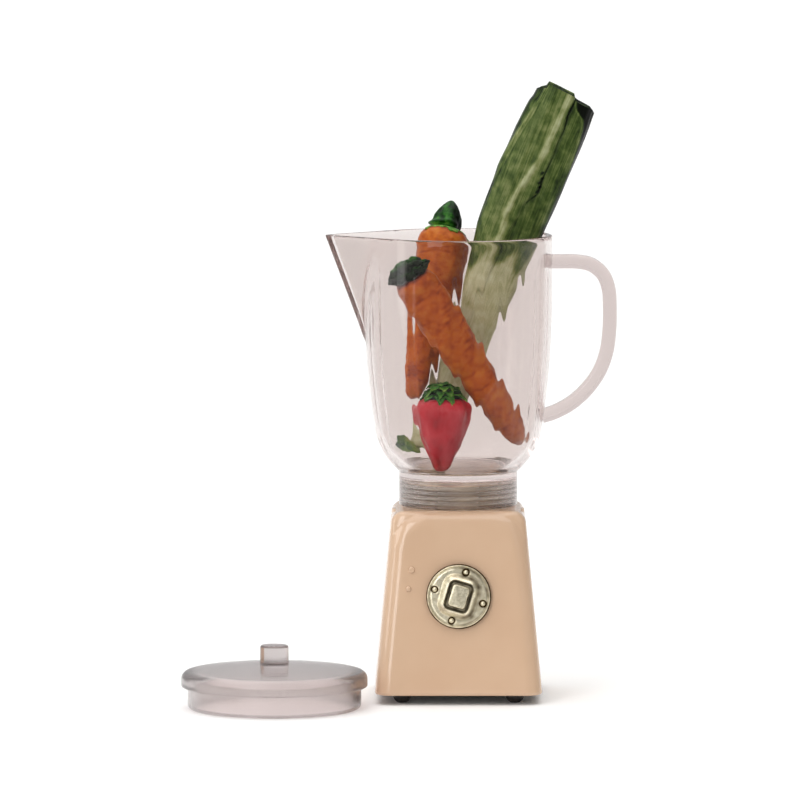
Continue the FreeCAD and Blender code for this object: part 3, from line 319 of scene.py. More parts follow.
def antiqueSilver():
    # die-cast and plated, then darkened and rubbed back: bright on high places, brown in the low,
    # and brown too where painted shade lies on the dial frame's right and upper slopes
    made, tree = newMaterial("antiqueSilver")
    place = addNode(tree, "TexCoord")
    grain = addNode(tree, "TexNoise",
                    {"Scale": 1000 / silverLook["grainMm"], "Detail": 6.0, "Roughness": 0.65},
                    [("Vector", place.outputs["Object"])])
    metal = addNode(tree, "ValToRGB",
                    {"stops": [(0.38, silverLook["dull"]), (0.6, silverLook["bright"])]},
                    [("Fac", grain)])
    grime = addNode(tree, "Attribute", {"attribute_name": "grime"})
    broken = addNode(tree, "Math", {"operation": "MULTIPLY_ADD", 1: 0.5, 2: -0.25}, [(0, grain)])
    total = addNode(tree, "Math", {"operation": "ADD", "use_clamp": True},
                    [(0, grime.outputs["Fac"]), (1, broken)])
    worn = addNode(tree, "MapRange", {"From Min": silverLook["patinaFrom"],
                                      "From Max": silverLook["patinaTo"]},
                   [("Value", total)])
    colour = addNode(tree, "Mix", {"data_type": "RGBA", 7: linear(silverLook["patinaAndShade"])},
                     [(0, worn), (6, metal)])
    rough = addNode(tree, "MapRange", {"To Min": silverLook["roughness"],
                                       "To Max": silverLook["patinaRoughness"]},
                    [("Value", worn)])
    relief = addNode(tree, "Bump", {"Strength": silverLook["grainStrength"],
                                    "Distance": silverLook["grainDepthMm"] * millimetre},
                     [("Height", grain)])
    shader = addNode(tree, "BsdfPrincipled", {"Metallic": 1.0},
                     [("Base Color", colour.outputs[2]), ("Roughness", rough),
                      ("Normal", relief)])
    addNode(tree, "OutputMaterial", links=[("Surface", shader)])
    return made


nickelLook = {"bright": "#f2e8d2", "dull": "#c2b7a0", "tarnish": "#4d3b2e", "roughness": 0.22,
              "tarnishRoughness": 0.65, "speckMm": 1.2, "specksFrom": 0.57, "specksTo": 0.68,
              "ringsPerMetre": (120.0, 120.0, 2600.0)}


def tarnishedNickel():
    # turned and nickel-plated: fine turning rings, and brown tarnish specks a millimetre across
    made, tree = newMaterial("tarnishedNickel")
    place = addNode(tree, "TexCoord")
    specks = addNode(tree, "TexNoise",
                     {"Scale": 1000 / nickelLook["speckMm"], "Detail": 8.0, "Roughness": 0.75},
                     [("Vector", place.outputs["Object"])])
    stretch = addNode(tree, "Mapping", {"Scale": nickelLook["ringsPerMetre"]},
                      [("Vector", place.outputs["Object"])])
    rings = addNode(tree, "TexNoise", {"Scale": 1.0, "Detail": 3.0}, [("Vector", stretch)])
    metal = addNode(tree, "ValToRGB",
                    {"stops": [(0.35, nickelLook["dull"]), (0.62, nickelLook["bright"])]},
                    [("Fac", rings)])
    stained = addNode(tree, "MapRange", {"From Min": nickelLook["specksFrom"],
                                         "From Max": nickelLook["specksTo"]},
                      [("Value", specks)])
    colour = addNode(tree, "Mix", {"data_type": "RGBA", 7: linear(nickelLook["tarnish"])},
                     [(0, stained), (6, metal)])
    rough = addNode(tree, "MapRange", {"To Min": nickelLook["roughness"],
                                       "To Max": nickelLook["tarnishRoughness"]},
                    [("Value", stained)])
    shader = addNode(tree, "BsdfPrincipled", {"Metallic": 1.0},
                     [("Base Color", colour.outputs[2]), ("Roughness", rough)])
    addNode(tree, "OutputMaterial", links=[("Surface", shader)])
    return made


plainLooks = {
    "zincPlate": {"colour": "#9c9b98", "metal": 1.0, "roughness": 0.45, "grainMm": 0.6},
    "blackRubber": {"colour": "#2b2622", "metal": 0.0, "roughness": 0.5, "grainMm": 0.4},
    "screwSteel": {"colour": "#a9a6a0", "metal": 1.0, "roughness": 0.35, "grainMm": 0.5},
    "springSteel": {"colour": "#8d8b88", "metal": 1.0, "roughness": 0.3, "grainMm": 0.5},
}
glossSpread = (0.06, 0.1)  # how far the grain takes the roughness down and up


def plainFinish(name):
    # pressed zinc, moulded rubber and drawn steel: one colour with a fine grain in its gloss
    look = plainLooks[name]
    made, tree = newMaterial(name)
    place = addNode(tree, "TexCoord")
    grain = addNode(tree, "TexNoise", {"Scale": 1000 / look["grainMm"], "Detail": 3.0},
                    [("Vector", place.outputs["Object"])])
    rough = addNode(tree, "MapRange",
                    {"To Min": look["roughness"] - glossSpread[0],
                     "To Max": look["roughness"] + glossSpread[1]},
                    [("Value", grain)])
    shader = addNode(tree, "BsdfPrincipled",
                     {"Base Color": linear(look["colour"]), "Metallic": look["metal"]},
                     [("Roughness", rough)])
    addNode(tree, "OutputMaterial", links=[("Surface", shader)])
    return made


clayLook = {"ior": 1.5, "shine": 0.12, "contrast": 0.55, "reliefStrength": 0.3, "reliefMm": 0.2}


def paintedClay(name, stops, streakMm, along, patches, gloss):
    # hand-painted modelling clay: streaks follow the vegetable (own attribute), patches mottle them
    made, tree = newMaterial(name)
    own = addNode(tree, "Attribute", {"attribute_name": "ownPlace"})
    tone = addNode(tree, "Attribute", {"attribute_name": "tone"})
    stretch = addNode(tree, "Mapping", {"Scale": (1 / streakMm, 1 / streakMm, 1 / along)},
                      [("Vector", own.outputs["Vector"])])
    streaks = addNode(tree, "TexNoise", {"Scale": 1.0, "Detail": 6.0, "Roughness": 0.6},
                      [("Vector", stretch)])
    mottle = addNode(tree, "TexNoise", {"Scale": 1 / patches, "Detail": 4.0},
                     [("Vector", own.outputs["Vector"])])
    both = addNode(tree, "Math", {"operation": "ADD"}, [(0, streaks), (1, mottle)])
    contrast = clayLook["contrast"]
    spread = addNode(tree, "Math", {"operation": "MULTIPLY_ADD", 1: contrast, 2: -contrast},
                     [(0, both)])
    total = addNode(tree, "Math", {"operation": "ADD", "use_clamp": True},
                    [(0, spread), (1, tone.outputs["Fac"])])
    colour = addNode(tree, "ValToRGB", {"stops": stops}, [("Fac", total)])
    bumps = addNode(tree, "Bump", {"Strength": clayLook["reliefStrength"],
                                   "Distance": clayLook["reliefMm"] * millimetre},
                    [("Height", both)])
    shader = addNode(tree, "BsdfPrincipled",
                     {"Roughness": gloss, "IOR": clayLook["ior"],
                      "Specular IOR Level": clayLook["shine"]},
                     [("Base Color", colour), ("Normal", bumps)])
    addNode(tree, "OutputMaterial", links=[("Surface", shader)])
    return made


plastics = {name: clearPlastic(name) for name in plasticLooks}
silver = antiqueSilver()
nickel = tarnishedNickel()
print("materials ready")


jug = {
    "foot": 36.5, "neckRadius": 11.28, "neckTop": 43.1, "footRound": 0.6,
    "socketRadius": 10.0, "socketTop": 42.0, "floor": 43.4, "floorRadius": 9.0, "wall": 1.2,
    "shoulderRadius": 15.7, "shoulderZ": 50.2, "bowlCurve": 14.0,
    "rimRadius": 17.85, "straightZ": 75.8, "sideCurve": 153.5, "rimZ": 88.2, "rimRound": 0.25,
    "ribs": 24, "ribWidth": 2.2, "ribDepth": 0.07, "ribTop": 81.6, "ribPhase": -1.5,
    "ribFadeTop": 0.6, "ribFadeFrom": 3.0, "ribFadeTo": 12.0, "ribFadeSpout": 0.3,
    "spoutReach": 25.4, "spoutRoot": 68.1, "spoutHalfAngle": 45.0, "spoutTip": 0.8,
    "spoutBlunt": 0.35, "spoutSoft": 0.5, "spoutBlend": (0.9, 1.02), "spoutWall": 1.4,
    "rootTouch": 0.5, "rootTip": (0.05, 0.3),  # the V's width and reach where it starts on the wall
    "threadFrom": 36.9, "threadTo": 41.6, "threads": 5, "threadDepth": 0.25, "threadRound": 0.08,
    "columns": 576, "tipColumns": ((7, 0.05), (1.5, 0.3)),  # how much closer they are near the tip
}


def softLarger(first, second, softness):
    # the larger of two values; the square root keeps the change between them rounded
    return 0.5 * (first + second + np.sqrt((first - second) ** 2 + softness ** 2))


def spoutRadius(off, height, inset):
    # distance from the axis to the V of the spout, along a direction that is off from its tip:
    # the ray meets the line from the V's touching point on the wall to its tip
    rise = np.clip((height - jug["spoutRoot"]) / (jug["rimZ"] - jug["spoutRoot"]), 0, 1)
    radius = jug["rimRadius"] - inset
    half = math.radians(jug["spoutHalfAngle"])
    touchX = (radius - jug["rootTouch"]) * (1 - rise) + radius * math.cos(half) * rise
    touchY = jug["rootTouch"] * (1 - rise) + radius * math.sin(half) * rise
    tipX = (radius - jug["rootTip"][0]) * (1 - rise)
    tipX = tipX + (jug["spoutReach"] - jug["spoutWall"] * inset) * rise
    tipY = jug["rootTip"][1] * (1 - rise) + jug["spoutTip"] * rise
    stepX, stepY = tipX - touchX, tipY - touchY
    side = (touchX * stepY - touchY * stepX) / (np.cos(off) * stepY - np.sin(off) * stepX)
    front = tipX / np.cos(off)
    meet = -softLarger(-side, -front, jug["spoutBlunt"])
    return np.where(off < np.arctan2(touchY, touchX), meet, 0)


def fromSpout(angle):
    # how far a direction is off from the spout's tip, which points to -X
    return np.abs(angle % fullTurn - math.pi)


def jugColumns():
    # angles round the axis, closer together at the spout's tip
    fine = np.linspace(0, fullTurn, 40001)
    off = fromSpout(fine)
    density = 1 + sum(more * bump(off, width) for more, width in jug["tipColumns"])
    spread = np.concatenate([[0], np.cumsum((density[1:] + density[:-1]) / 2)])
    wanted = np.arange(jug["columns"]) / jug["columns"] * spread[-1]
    return np.interp(wanted, spread, fine)


def threadCorners():
    # corners of the rings moulded into the socket's wall, from its top down
    pitch = (jug["threadTo"] - jug["threadFrom"]) / jug["threads"]
    corners = []
    for index in range(jug["threads"]):
        top = jug["threadTo"] - pitch * index
        for deep, share in ((0, 0.05), (1, 0.4), (1, 0.6), (0, 0.95)):  # crest, root, root, crest
            corners.append((jug["socketRadius"] + jug["threadDepth"] * deep, top - pitch * share,
                            jug["threadRound"]))
    return corners


def jugProfiles():
    # the turned shape's outside from the socket to the rim, the rim, and the inside down to
    # the floor: arcs for the bowl and the side, a straight line under the rim
    wall, floor = jug["wall"], (jug["floorRadius"], jug["floor"])
    shoulder = (jug["shoulderRadius"], jug["shoulderZ"])
    straight = (jug["rimRadius"], jug["straightZ"])
    innerShoulder = (shoulder[0] - wall, shoulder[1])
    innerStraight = (straight[0] - wall, straight[1])
    rimFoot = jug["rimZ"] - jug["rimRound"]
    socket = roundedProfile([
        (0, jug["socketTop"], 0), (jug["socketRadius"], jug["socketTop"], 0.3), *threadCorners(),
        (jug["socketRadius"], jug["foot"], 0.25),
        (jug["neckRadius"], jug["foot"], jug["footRound"]),
        (jug["neckRadius"], jug["neckTop"] - 0.3, 0)])
    outer = np.concatenate([
        socket, arcPoints((jug["neckRadius"], jug["neckTop"]), shoulder, jug["bowlCurve"], -1, 18),
        arcPoints(shoulder, straight, jug["sideCurve"], -1, 20)[1:],
        np.stack([np.full(11, straight[0]), np.linspace(straight[1], rimFoot, 12)[1:]], -1)])
    inner = np.concatenate([
        np.stack([np.full(16, innerStraight[0]), np.linspace(rimFoot, straight[1], 17)[:-1]], -1),
        arcPoints(innerStraight, innerShoulder, jug["sideCurve"], 1, 20),
        arcPoints(innerShoulder, floor, jug["bowlCurve"] - wall, 1, 22)[1:],
        [(floor[0] * share, floor[1]) for share in (0.97, 0.7, 0.35, 0.1)]])
    turn = np.linspace(0, math.pi, 9)[1:-1]
    rim = np.stack([jug["rimRadius"] - wall * (1 - np.cos(turn)) / 2,
                    jug["rimZ"] - jug["rimRound"] * (1 - np.sin(turn))], -1)
    return outer, rim, inner


def makeJug():
    # the turned profile, pulled out to the spout where that reaches past the wall; its inside has
    # shallow ribs, each a cosine squared across its width, faded out at both ends
    outer, rim, inner = jugProfiles()
    profile = np.concatenate([outer, rim, inner])
    inset = np.concatenate([0 * outer[:, 0], jug["rimRadius"] - rim[:, 0],
                            np.full(len(inner), jug["wall"])])
    angle = jugColumns()[None, :]
    off = fromSpout(angle)
    base, height = profile[:, :1], profile[:, 1:]
    spout = spoutRadius(off, height, inset[:, None])
    both = softLarger(base, spout, jug["spoutSoft"])
    edge = smoothStep(*jug["spoutBlend"], spout / base) * (height > jug["spoutRoot"])
    radius = base + (both - base) * edge
    radius = np.minimum(radius, np.where(height > jug["spoutRoot"], jug["spoutReach"], radius))
    pitch = fullTurn / jug["ribs"]
    fromRib = (angle - math.radians(jug["ribPhase"]) + pitch / 2) % pitch - pitch / 2
    across = fromRib * base / (jug["ribWidth"] / 2)
    section = np.where(np.abs(across) < 1, np.cos(across * math.pi / 2) ** 2, 0)
    inside = (np.arange(len(profile)) >= len(outer) + len(rim))[:, None]
    window = smoothStep(jug["ribTop"], jug["ribTop"] - jug["ribFadeTop"], height)
    window = window * smoothStep(jug["ribFadeFrom"], jug["ribFadeTo"], height - jug["floor"])
    clear = 1 - smoothStep(0.0, jug["ribFadeSpout"], radius - base)
    radius = radius - jug["ribDepth"] * section * window * inside * clear
    piece = makeObject("jugBody", [shell(roundAxis(radius, angle, height))], plastics["jugPlastic"])
    piece.data.materials.append(plastics["frostedPlastic"])  # the socket's rings scatter light
    threaded = (profile[:, 0] < jug["socketRadius"] + jug["threadDepth"] + 0.05) & (
        profile[:, 1] > jug["foot"] + 0.2) & (profile[:, 1] < jug["threadTo"] + 0.2)
    rowOfFace = np.repeat(np.arange(len(profile) - 1), jug["columns"])
    used = np.zeros(len(piece.data.polygons), np.int32)
    used[:len(rowOfFace)] = threaded[rowOfFace] & threaded[rowOfFace + 1]
    piece.data.polygons.foreach_set("material_index", used)
    return piece


dress(makeJug(), "jug", "clear_plastic", "jug")

handle = {
    "width": 3.2, "thickness": 2.67, "corner": 0.75, "jointGap": 0.03,
    "rows": 120, "shortestRow": 0.08,
    "knots": ((16.9, 83.1), (19.5, 83.1), (22.5, 83.05), (25.3, 82.45), (27.5, 80.6), (28.55, 77.9),
              (28.8, 74.6), (28.75, 70.5), (28.25, 66.2), (26.9, 62.3), (24.6, 58.9), (21.7, 56.2),
              (18.6, 54.45), (15.9, 53.55)),
}


def handleLine():
    # centre line in the jug's plane: a cubic between each two knots, with a slope at each knot
    # of half the way from the knot before to the one after; then evenly spaced points on it
    knots = np.array(handle["knots"])
    before, after = np.roll(knots, 1, 0), np.roll(knots, -1, 0)
    slopes = (after - before) / 2
    slopes[0], slopes[-1] = knots[1] - knots[0], knots[-1] - knots[-2]
    t = np.linspace(0, 1, 24, endpoint=False)[:, None]
    pieces = []
    for first, last, slopeA, slopeB in zip(knots, knots[1:], slopes, slopes[1:]):
        pieces.append((2 * t ** 3 - 3 * t ** 2 + 1) * first + (t ** 3 - 2 * t ** 2 + t) * slopeA
                      + (3 * t ** 2 - 2 * t ** 3) * last + (t ** 3 - t ** 2) * slopeB)
    line = np.concatenate([*pieces, knots[-1:]])
    length = np.concatenate([[0], np.cumsum(np.linalg.norm(np.diff(line, axis=0), axis=1))])
    even = np.linspace(0, length[-1], handle["rows"])
    return np.stack([np.interp(even, length, line[:, axis]) for axis in (0, 1)], -1)


def wallRadius(height):
    # outside radius of the jug's side at a height, from the arc of its side
    drop = np.clip(jug["straightZ"] - height, 0, None)
    return jug["rimRadius"] - jug["sideCurve"] + np.sqrt(jug["sideCurve"] ** 2 - drop ** 2)


def makeHandle():
    # the outline of a rounded box carried along the centre line, square to it
    line = handleLine()
    along = np.gradient(line, axis=0)
    along /= np.linalg.norm(along, axis=1)[:, None]
    outward = np.stack([-along[:, 1], along[:, 0]], -1)
    section = outlinePoints(handle["width"], handle["thickness"], handle["corner"], 7, 3)
    x = line[:, :1] + outward[:, :1] * section[None, :, 1]
    z = line[:, 1:] + outward[:, 1:] * section[None, :, 1]
    y = np.broadcast_to(section[None, :, 0], x.shape)
    seat = np.sqrt((wallRadius(z) + handle["jointGap"]) ** 2 - y ** 2)
    x = np.maximum(x, seat)  # both ends are cut to the wall they are glued to
    grid = np.stack([x, y, z], -1)
    apart = np.linalg.norm(grid[1:] - grid[:-1], axis=2).max(1) > handle["shortestRow"]
    keep = np.concatenate([[True], apart])  # rows that the seat has pushed together go
    return makeObject("jugHandle", [shell(grid[keep])], plastics["handlePlastic"])


dress(makeHandle(), "jug", "clear_plastic", "jug_handle")

lid = {
    "centre": (-34.8, -19.0), "wall": 1.2,
    "skirtRadius": 16.4, "skirtHeight": 4.2, "skirtRound": 0.9,
    "flangeRadius": 17.6, "flangeTop": 6.9, "flangeRound": 1.5, "crown": 8.3,
    "knobRadius": 2.68, "knobTop": 12.1, "knobRound": 0.45, "columns": 160,
    "underRadii": (0, 3, 6, 9, 12, 14), "overRadii": (15.4, 13, 10, 7, 4.5),
}


def makeLid():
    # one turned profile: under the dome, round skirt and flange, and over the dome to the knob
    inside = lid["skirtRadius"] - lid["wall"]
    rise = lid["crown"] - lid["flangeTop"]

    def domeZ(radius):  # shallow dome: falls with the square of the distance from the axis
        return lid["crown"] - rise * (radius / lid["flangeRadius"]) ** 2

    under = [(radius, domeZ(radius) - lid["wall"], 0) for radius in lid["underRadii"]]
    over = [(radius, domeZ(radius), 0) for radius in lid["overRadii"]]
    profile = roundedProfile([
        *under, (inside, domeZ(inside) - lid["wall"], 0.5), (inside, 0, 0.3),
        (lid["skirtRadius"], 0, lid["skirtRound"]), (lid["skirtRadius"], lid["skirtHeight"], 0.15),
        (lid["flangeRadius"], lid["skirtHeight"], 0.25),
        (lid["flangeRadius"], domeZ(lid["flangeRadius"]), lid["flangeRound"]),
        *over, (lid["knobRadius"] + 0.05, domeZ(lid["knobRadius"]), 0.12),
        (lid["knobRadius"], lid["knobTop"] - 0.15, lid["knobRound"]), (0, lid["knobTop"], 0),
    ])
    grid = turned(profile, lid["columns"]) + np.array([*lid["centre"], 0])
    return makeObject("lidWithKnob", [shell(grid)], plastics["lidPlastic"])


dress(makeLid(), "lid", "clear_plastic", "lid")
print("clear pieces ready")


spigot = {"ceiling": 35.3, "foot": 36.5, "radius": 9.8, "top": 41.6, "grooveDepth": 0.45,
          "registerRadius": 4.0, "ridges": 3, "ridgeFrom": 0.3, "ridgeTo": 0.75, "ridgeRound": 0.18,
          "grooveRound": 0.15, "bore": 0.9, "boreDepth": 3.6, "columns": 160}


def makeSpigot():
    # profile from the screw's bore through the seat and the ridges to the flat top
    low, pitch = spigot["foot"], (spigot["top"] - 0.5 - spigot["foot"]) / spigot["ridges"]
    groove = spigot["radius"] - spigot["grooveDepth"]
    bore = spigot["bore"]
    boreTop = spigot["ceiling"] + spigot["boreDepth"]
    corners = [(0, boreTop, 0), (bore, boreTop, 0.1), (bore, spigot["ceiling"], 0.1),
               (spigot["registerRadius"], spigot["ceiling"], 0.15),
               (spigot["registerRadius"], low, 0.1)]
    for ridge in range(spigot["ridges"]):
        foot = low + ridge * pitch
        corners += [(groove, foot + 0.02, spigot["grooveRound"])]
        corners += [(spigot["radius"], foot + spigot[share] * pitch, spigot["ridgeRound"])
                    for share in ("ridgeFrom", "ridgeTo")]
    corners += [(groove, low + spigot["ridges"] * pitch, 0.12), (groove - 0.5, spigot["top"], 0.15),
                (0, spigot["top"], 0)]
    grid = turned(roundedProfile(corners, 5, 0.08), spigot["columns"])
    return makeObject("spigotTurned", [shell(grid)], nickel)


dress(makeSpigot(), "base", "spigot_metal", "spigot")

casting = {
    "foot": 1.8, "height": 34.7, "footHalf": 15.9, "topHalf": 12.6, "corner": 3.2, "topRound": 2.6,
    "rollAcross": 6.8, "rollWidest": 13.5, "rollUp": 30.0, "rollFrom": 3.3, "rollTo": 6.0,
    "rollDepth": 1.6, "frontFrom": 11.0, "frontTo": 12.6, "skinFrom": -0.9, "skinTo": -0.5,
    "cell": 0.3, "sharpAngle": 30, "dialZ": 20.6,
}
castingLean = (casting["footHalf"] - casting["topHalf"]) / casting["height"]  # of all four sides
faceTilt = math.atan(castingLean)
faceY = casting["footHalf"] - (casting["dialZ"] - casting["foot"]) * castingLean
faceFoot = np.array([0, -faceY, casting["dialZ"]])
faceUp = np.array([0, math.sin(faceTilt), math.cos(faceTilt)])
faceOut = np.array([0, -math.cos(faceTilt), math.sin(faceTilt)])


def onFace(grid):
    # x stays, y runs up the front face and z out of it, from the dial's centre
    return (faceFoot + grid[..., :1] * np.array([1, 0, 0])
            + grid[..., 1:2] * faceUp + grid[..., 2:] * faceOut)


dial = {
    "radius": 6.15, "back": 0.1, "top": 1.0, "turn": 16.5, "wobble": 0.009, "wobbleMm": 1.6,
    "frame": (7.3, 8.3, 2.5), "frameTop": 2.12, "frameSlope": 1.35,
    "well": (4.5, 5.5, 1.0), "wellFloor": 0.42, "wellEdge": (0.25, -0.3),
    "hubRadius": 2.4, "hubLength": 3.8,
    "chamberRadius": 1.75, "chamberFloor": -3.2, "stemHole": 0.66,
    "rivetRadius": 0.46, "rivetCircle": 4.75, "rivetHeight": 0.46, "rivetShank": 0.3,
    # rings: what they run round, how far from it, their width, millimetres up, how dark
    "rings": (("edge", 0.32, 0.2, 0.2, 0.0), ("edge", 0.75, 0.2, -0.08, 0.0),
              ("edge", 0.75, 0.22, 0.0, 0.3), ("frame", 0.12, 0.3, 0.0, 0.25),
              ("rivet", 0.62, 0.15, -0.12, 0.0), ("rivet", 0.55, 0.17, 0.0, 1.0)),
    "columns": 256,
}


def boxDistance(x, y, width, height, corner):
    # signed distance to a rectangle with round corners, negative inside
    overX, overY = np.abs(x) - width / 2 + corner, np.abs(y) - height / 2 + corner
    outside = np.hypot(np.maximum(overX, 0), np.maximum(overY, 0))
    return outside + np.minimum(np.maximum(overX, overY), 0) - corner


def rotated(x, y, degrees):
    # a place turned counterclockwise about the origin
    cosine, sine = math.cos(math.radians(degrees)), math.sin(math.radians(degrees))
    return x * cosine - y * sine, x * sine + y * cosine


def rivetPlaces():
    # four places on a circle, a quarter turn apart, the first at the top of the turned dial
    turn = np.radians(90 - dial["turn"] + np.array([0, 90, 180, 270]))
    return dial["rivetCircle"] * np.stack([np.cos(turn), np.sin(turn)], -1)


def dialHeight(x, y):
    # height of the dial's face over its back, and how much dark patina and painted shade lie there
    ownX, ownY = rotated(x, y, dial["turn"])
    frameDistance = boxDistance(ownX, ownY, *dial["frame"])
    wellDistance = boxDistance(ownX, ownY, *dial["well"])
    fromEdge = dial["radius"] - np.hypot(x, y)
    slope = np.clip(-frameDistance / dial["frameSlope"], 0, 1)
    swell = 0.45 * smoothStep(0, 1, slope) + 0.55 * np.sin(slope * math.pi / 2)
    crest = (dial["frameTop"] - dial["top"]) * swell
    sunk = smoothStep(*dial["wellEdge"], wellDistance)
    height = (dial["top"] + crest) * (1 - sunk) + dial["wellFloor"] * sunk
    patinaAndShade = 0.5 * smoothStep(0.4, -0.2, wellDistance)
    keyLitSide = smoothStep(0.8, -2.2, ownX + 0.3 * ownY)  # painted shade: the frame's right and upper slopes are darkened, and the left and lower ones stay bright
    patinaAndShade += (0.6 - 0.6 * keyLitSide) * bump(slope - 0.3, 0.35)
    patinaAndShade += 0.9 * smoothStep(0.3, 0.08, fromEdge)
    fromRivet = np.min([np.hypot(x - place[0], y - place[1]) for place in rivetPlaces()], axis=0)
    distances = {"edge": fromEdge, "frame": frameDistance, "rivet": fromRivet}
    for around, place, width, up, dark in dial["rings"]:
        bell = bump(distances[around] - place, width)
        height, patinaAndShade = height + up * bell, patinaAndShade + dark * bell
    wobble = softNoise(np.stack([x, y, 0 * x], -1), dial["wobbleMm"], 5)
    height += dial["wobble"] * wobble * smoothStep(0.1, 0.5, fromEdge)
    return height, np.clip(patinaAndShade + 0.06 * wobble, 0, 1)


def makeDial():
    # a turned hub and back, rings of the face at the heights of dialHeight, and a turned chamber
    # behind the button
    columns = dial["columns"]
    turn = roundTurn(columns)
    edge = roundedProfile([
        (dial["stemHole"], dial["chamberFloor"], 0), (dial["stemHole"], -dial["hubLength"], 0),
        (dial["hubRadius"], -dial["hubLength"], 0.2), (dial["hubRadius"], dial["back"], 0.1),
        (dial["radius"], dial["back"], 0.2), (dial["radius"], dial["top"] - 0.25, 0)], 4)
    inward = np.linspace(0.14, dial["radius"] - dial["chamberRadius"], 110)
    faceRadii = dial["radius"] - np.concatenate([[0.03, 0.08], inward])
    x, y = faceRadii[:, None] * np.cos(turn), faceRadii[:, None] * np.sin(turn)
    height, patinaAndShade = dialHeight(x, y)
    rounding = smoothStep(0, 0.35, dial["radius"] - faceRadii)[:, None]
    height = (dial["top"] - 0.25) * (1 - np.sqrt(rounding)) + height * np.sqrt(rounding)
    front = np.stack([x, y, height], -1)
    chamber = np.array([(dial["chamberRadius"], 0.3), (dial["chamberRadius"], dial["chamberFloor"]),
                        (dial["stemHole"] + 0.3, dial["chamberFloor"])])
    grid = np.concatenate([turned(edge, columns), front, turned(chamber, columns)])
    hidden = np.ones((len(chamber), columns))
    grime = np.concatenate([np.full((len(edge), columns), 0.95), patinaAndShade, hidden])
    disc = shell(onFace(grid), wrapRows=True, fields={"grime": grime})
    return makeObject("dialDisc", [disc], silver)


dress(makeDial(), "dial", "antique_silver", "dial")


def makeRivets():
    # at each place a turned shank and over it a dome, a quarter of an ellipse
    shells = []
    for x, y in rivetPlaces():
        radius, shank, top = dial["rivetRadius"], dial["rivetShank"], dial["top"]
        foot = dial["back"] + 0.05
        line = roundedProfile([(0, foot, 0), (shank, foot, 0), (shank, top - 0.3, 0),
                               (radius, top - 0.3, 0), (radius, top + 0.05, 0)], 2)
        rise = np.linspace(0, math.pi / 2 - 0.03, 9)
        dome = np.stack([radius * np.cos(rise),
                         top + 0.06 + (dial["rivetHeight"] - 0.06) * np.sin(rise)], -1)
        profile = np.concatenate([line, dome])
        grid = turned(profile, 24) + np.array([x, y, 0])
        grime = np.broadcast_to(smoothStep(0.12, 0.0, profile[:, 1] - top)[:, None], grid.shape[:2])
        shells.append(shell(onFace(grid), fields={"grime": grime}))
    return makeObject("dialRivets", shells, silver)


dress(makeRivets(), "dial", "antique_silver", "dial_rivets")

button = {"width": 3.3, "height": 4.2, "corner": 0.6, "top": 2.05, "bottom": 1.1, "edge": 0.28,
          "dome": 0.06, "stem": 0.6, "stemEnd": -4.4}


def padRow(inset):
    # the pad's outline, set in from its side all round
    return outlinePoints(button["width"] - 2 * inset, button["height"] - 2 * inset,
                         button["corner"] - inset / 2, 8, 8)


def makeButton():
    # rows of a round stem, then of the pad's side, its rounded edge and its slightly domed top
    stem, stemEnd, bottom, top = (button[name] for name in ("stem", "stemEnd", "bottom", "top"))
    pad = padRow(0)
    circle = pad / np.linalg.norm(pad, axis=1)[:, None]
    rows = [(0.2 * circle, stemEnd), ((stem - 0.1) * circle, stemEnd),
            (stem * circle, stemEnd + 0.1), (stem * circle, bottom),
            (padRow(0.15), bottom), (pad, bottom + 0.15)]
    for rise in np.linspace(0, math.pi / 2, 7):
        rows.append((padRow(button["edge"] * (1 - math.cos(rise))),
                     top - button["dome"] - button["edge"] * (1 - math.sin(rise))))
    last = rows[-1][0]
    rows += [(last * share, top - button["dome"] * share ** 2) for share in (0.9, 0.7, 0.45, 0.2)]
    flat = np.array([row for row, _ in rows])
    x, y = rotated(flat[..., 0], flat[..., 1], -dial["turn"])
    z = np.array([level for _, level in rows])[:, None] + 0 * x
    depth = button["top"] - z
    grime = smoothStep(0.15, 0.75, depth)
    z = z + 0.012 * softNoise(np.stack([x, y, z], -1), 1.1, 9) * (depth < 0.2)
    pressed = shell(onFace(np.stack([x, y, z], -1)), fields={"grime": grime})
    return makeObject("switchButton", [pressed], silver)


dress(makeButton(), "button", "antique_silver", "switch_button")
print("dial ready")


def ownFields(grid, tone):
    # each point's place in the vegetable's own millimetres, and its tone on the colour ramp
    return {"ownPlace": grid, "tone": np.broadcast_to(tone, grid.shape[:2]).astype(float)}


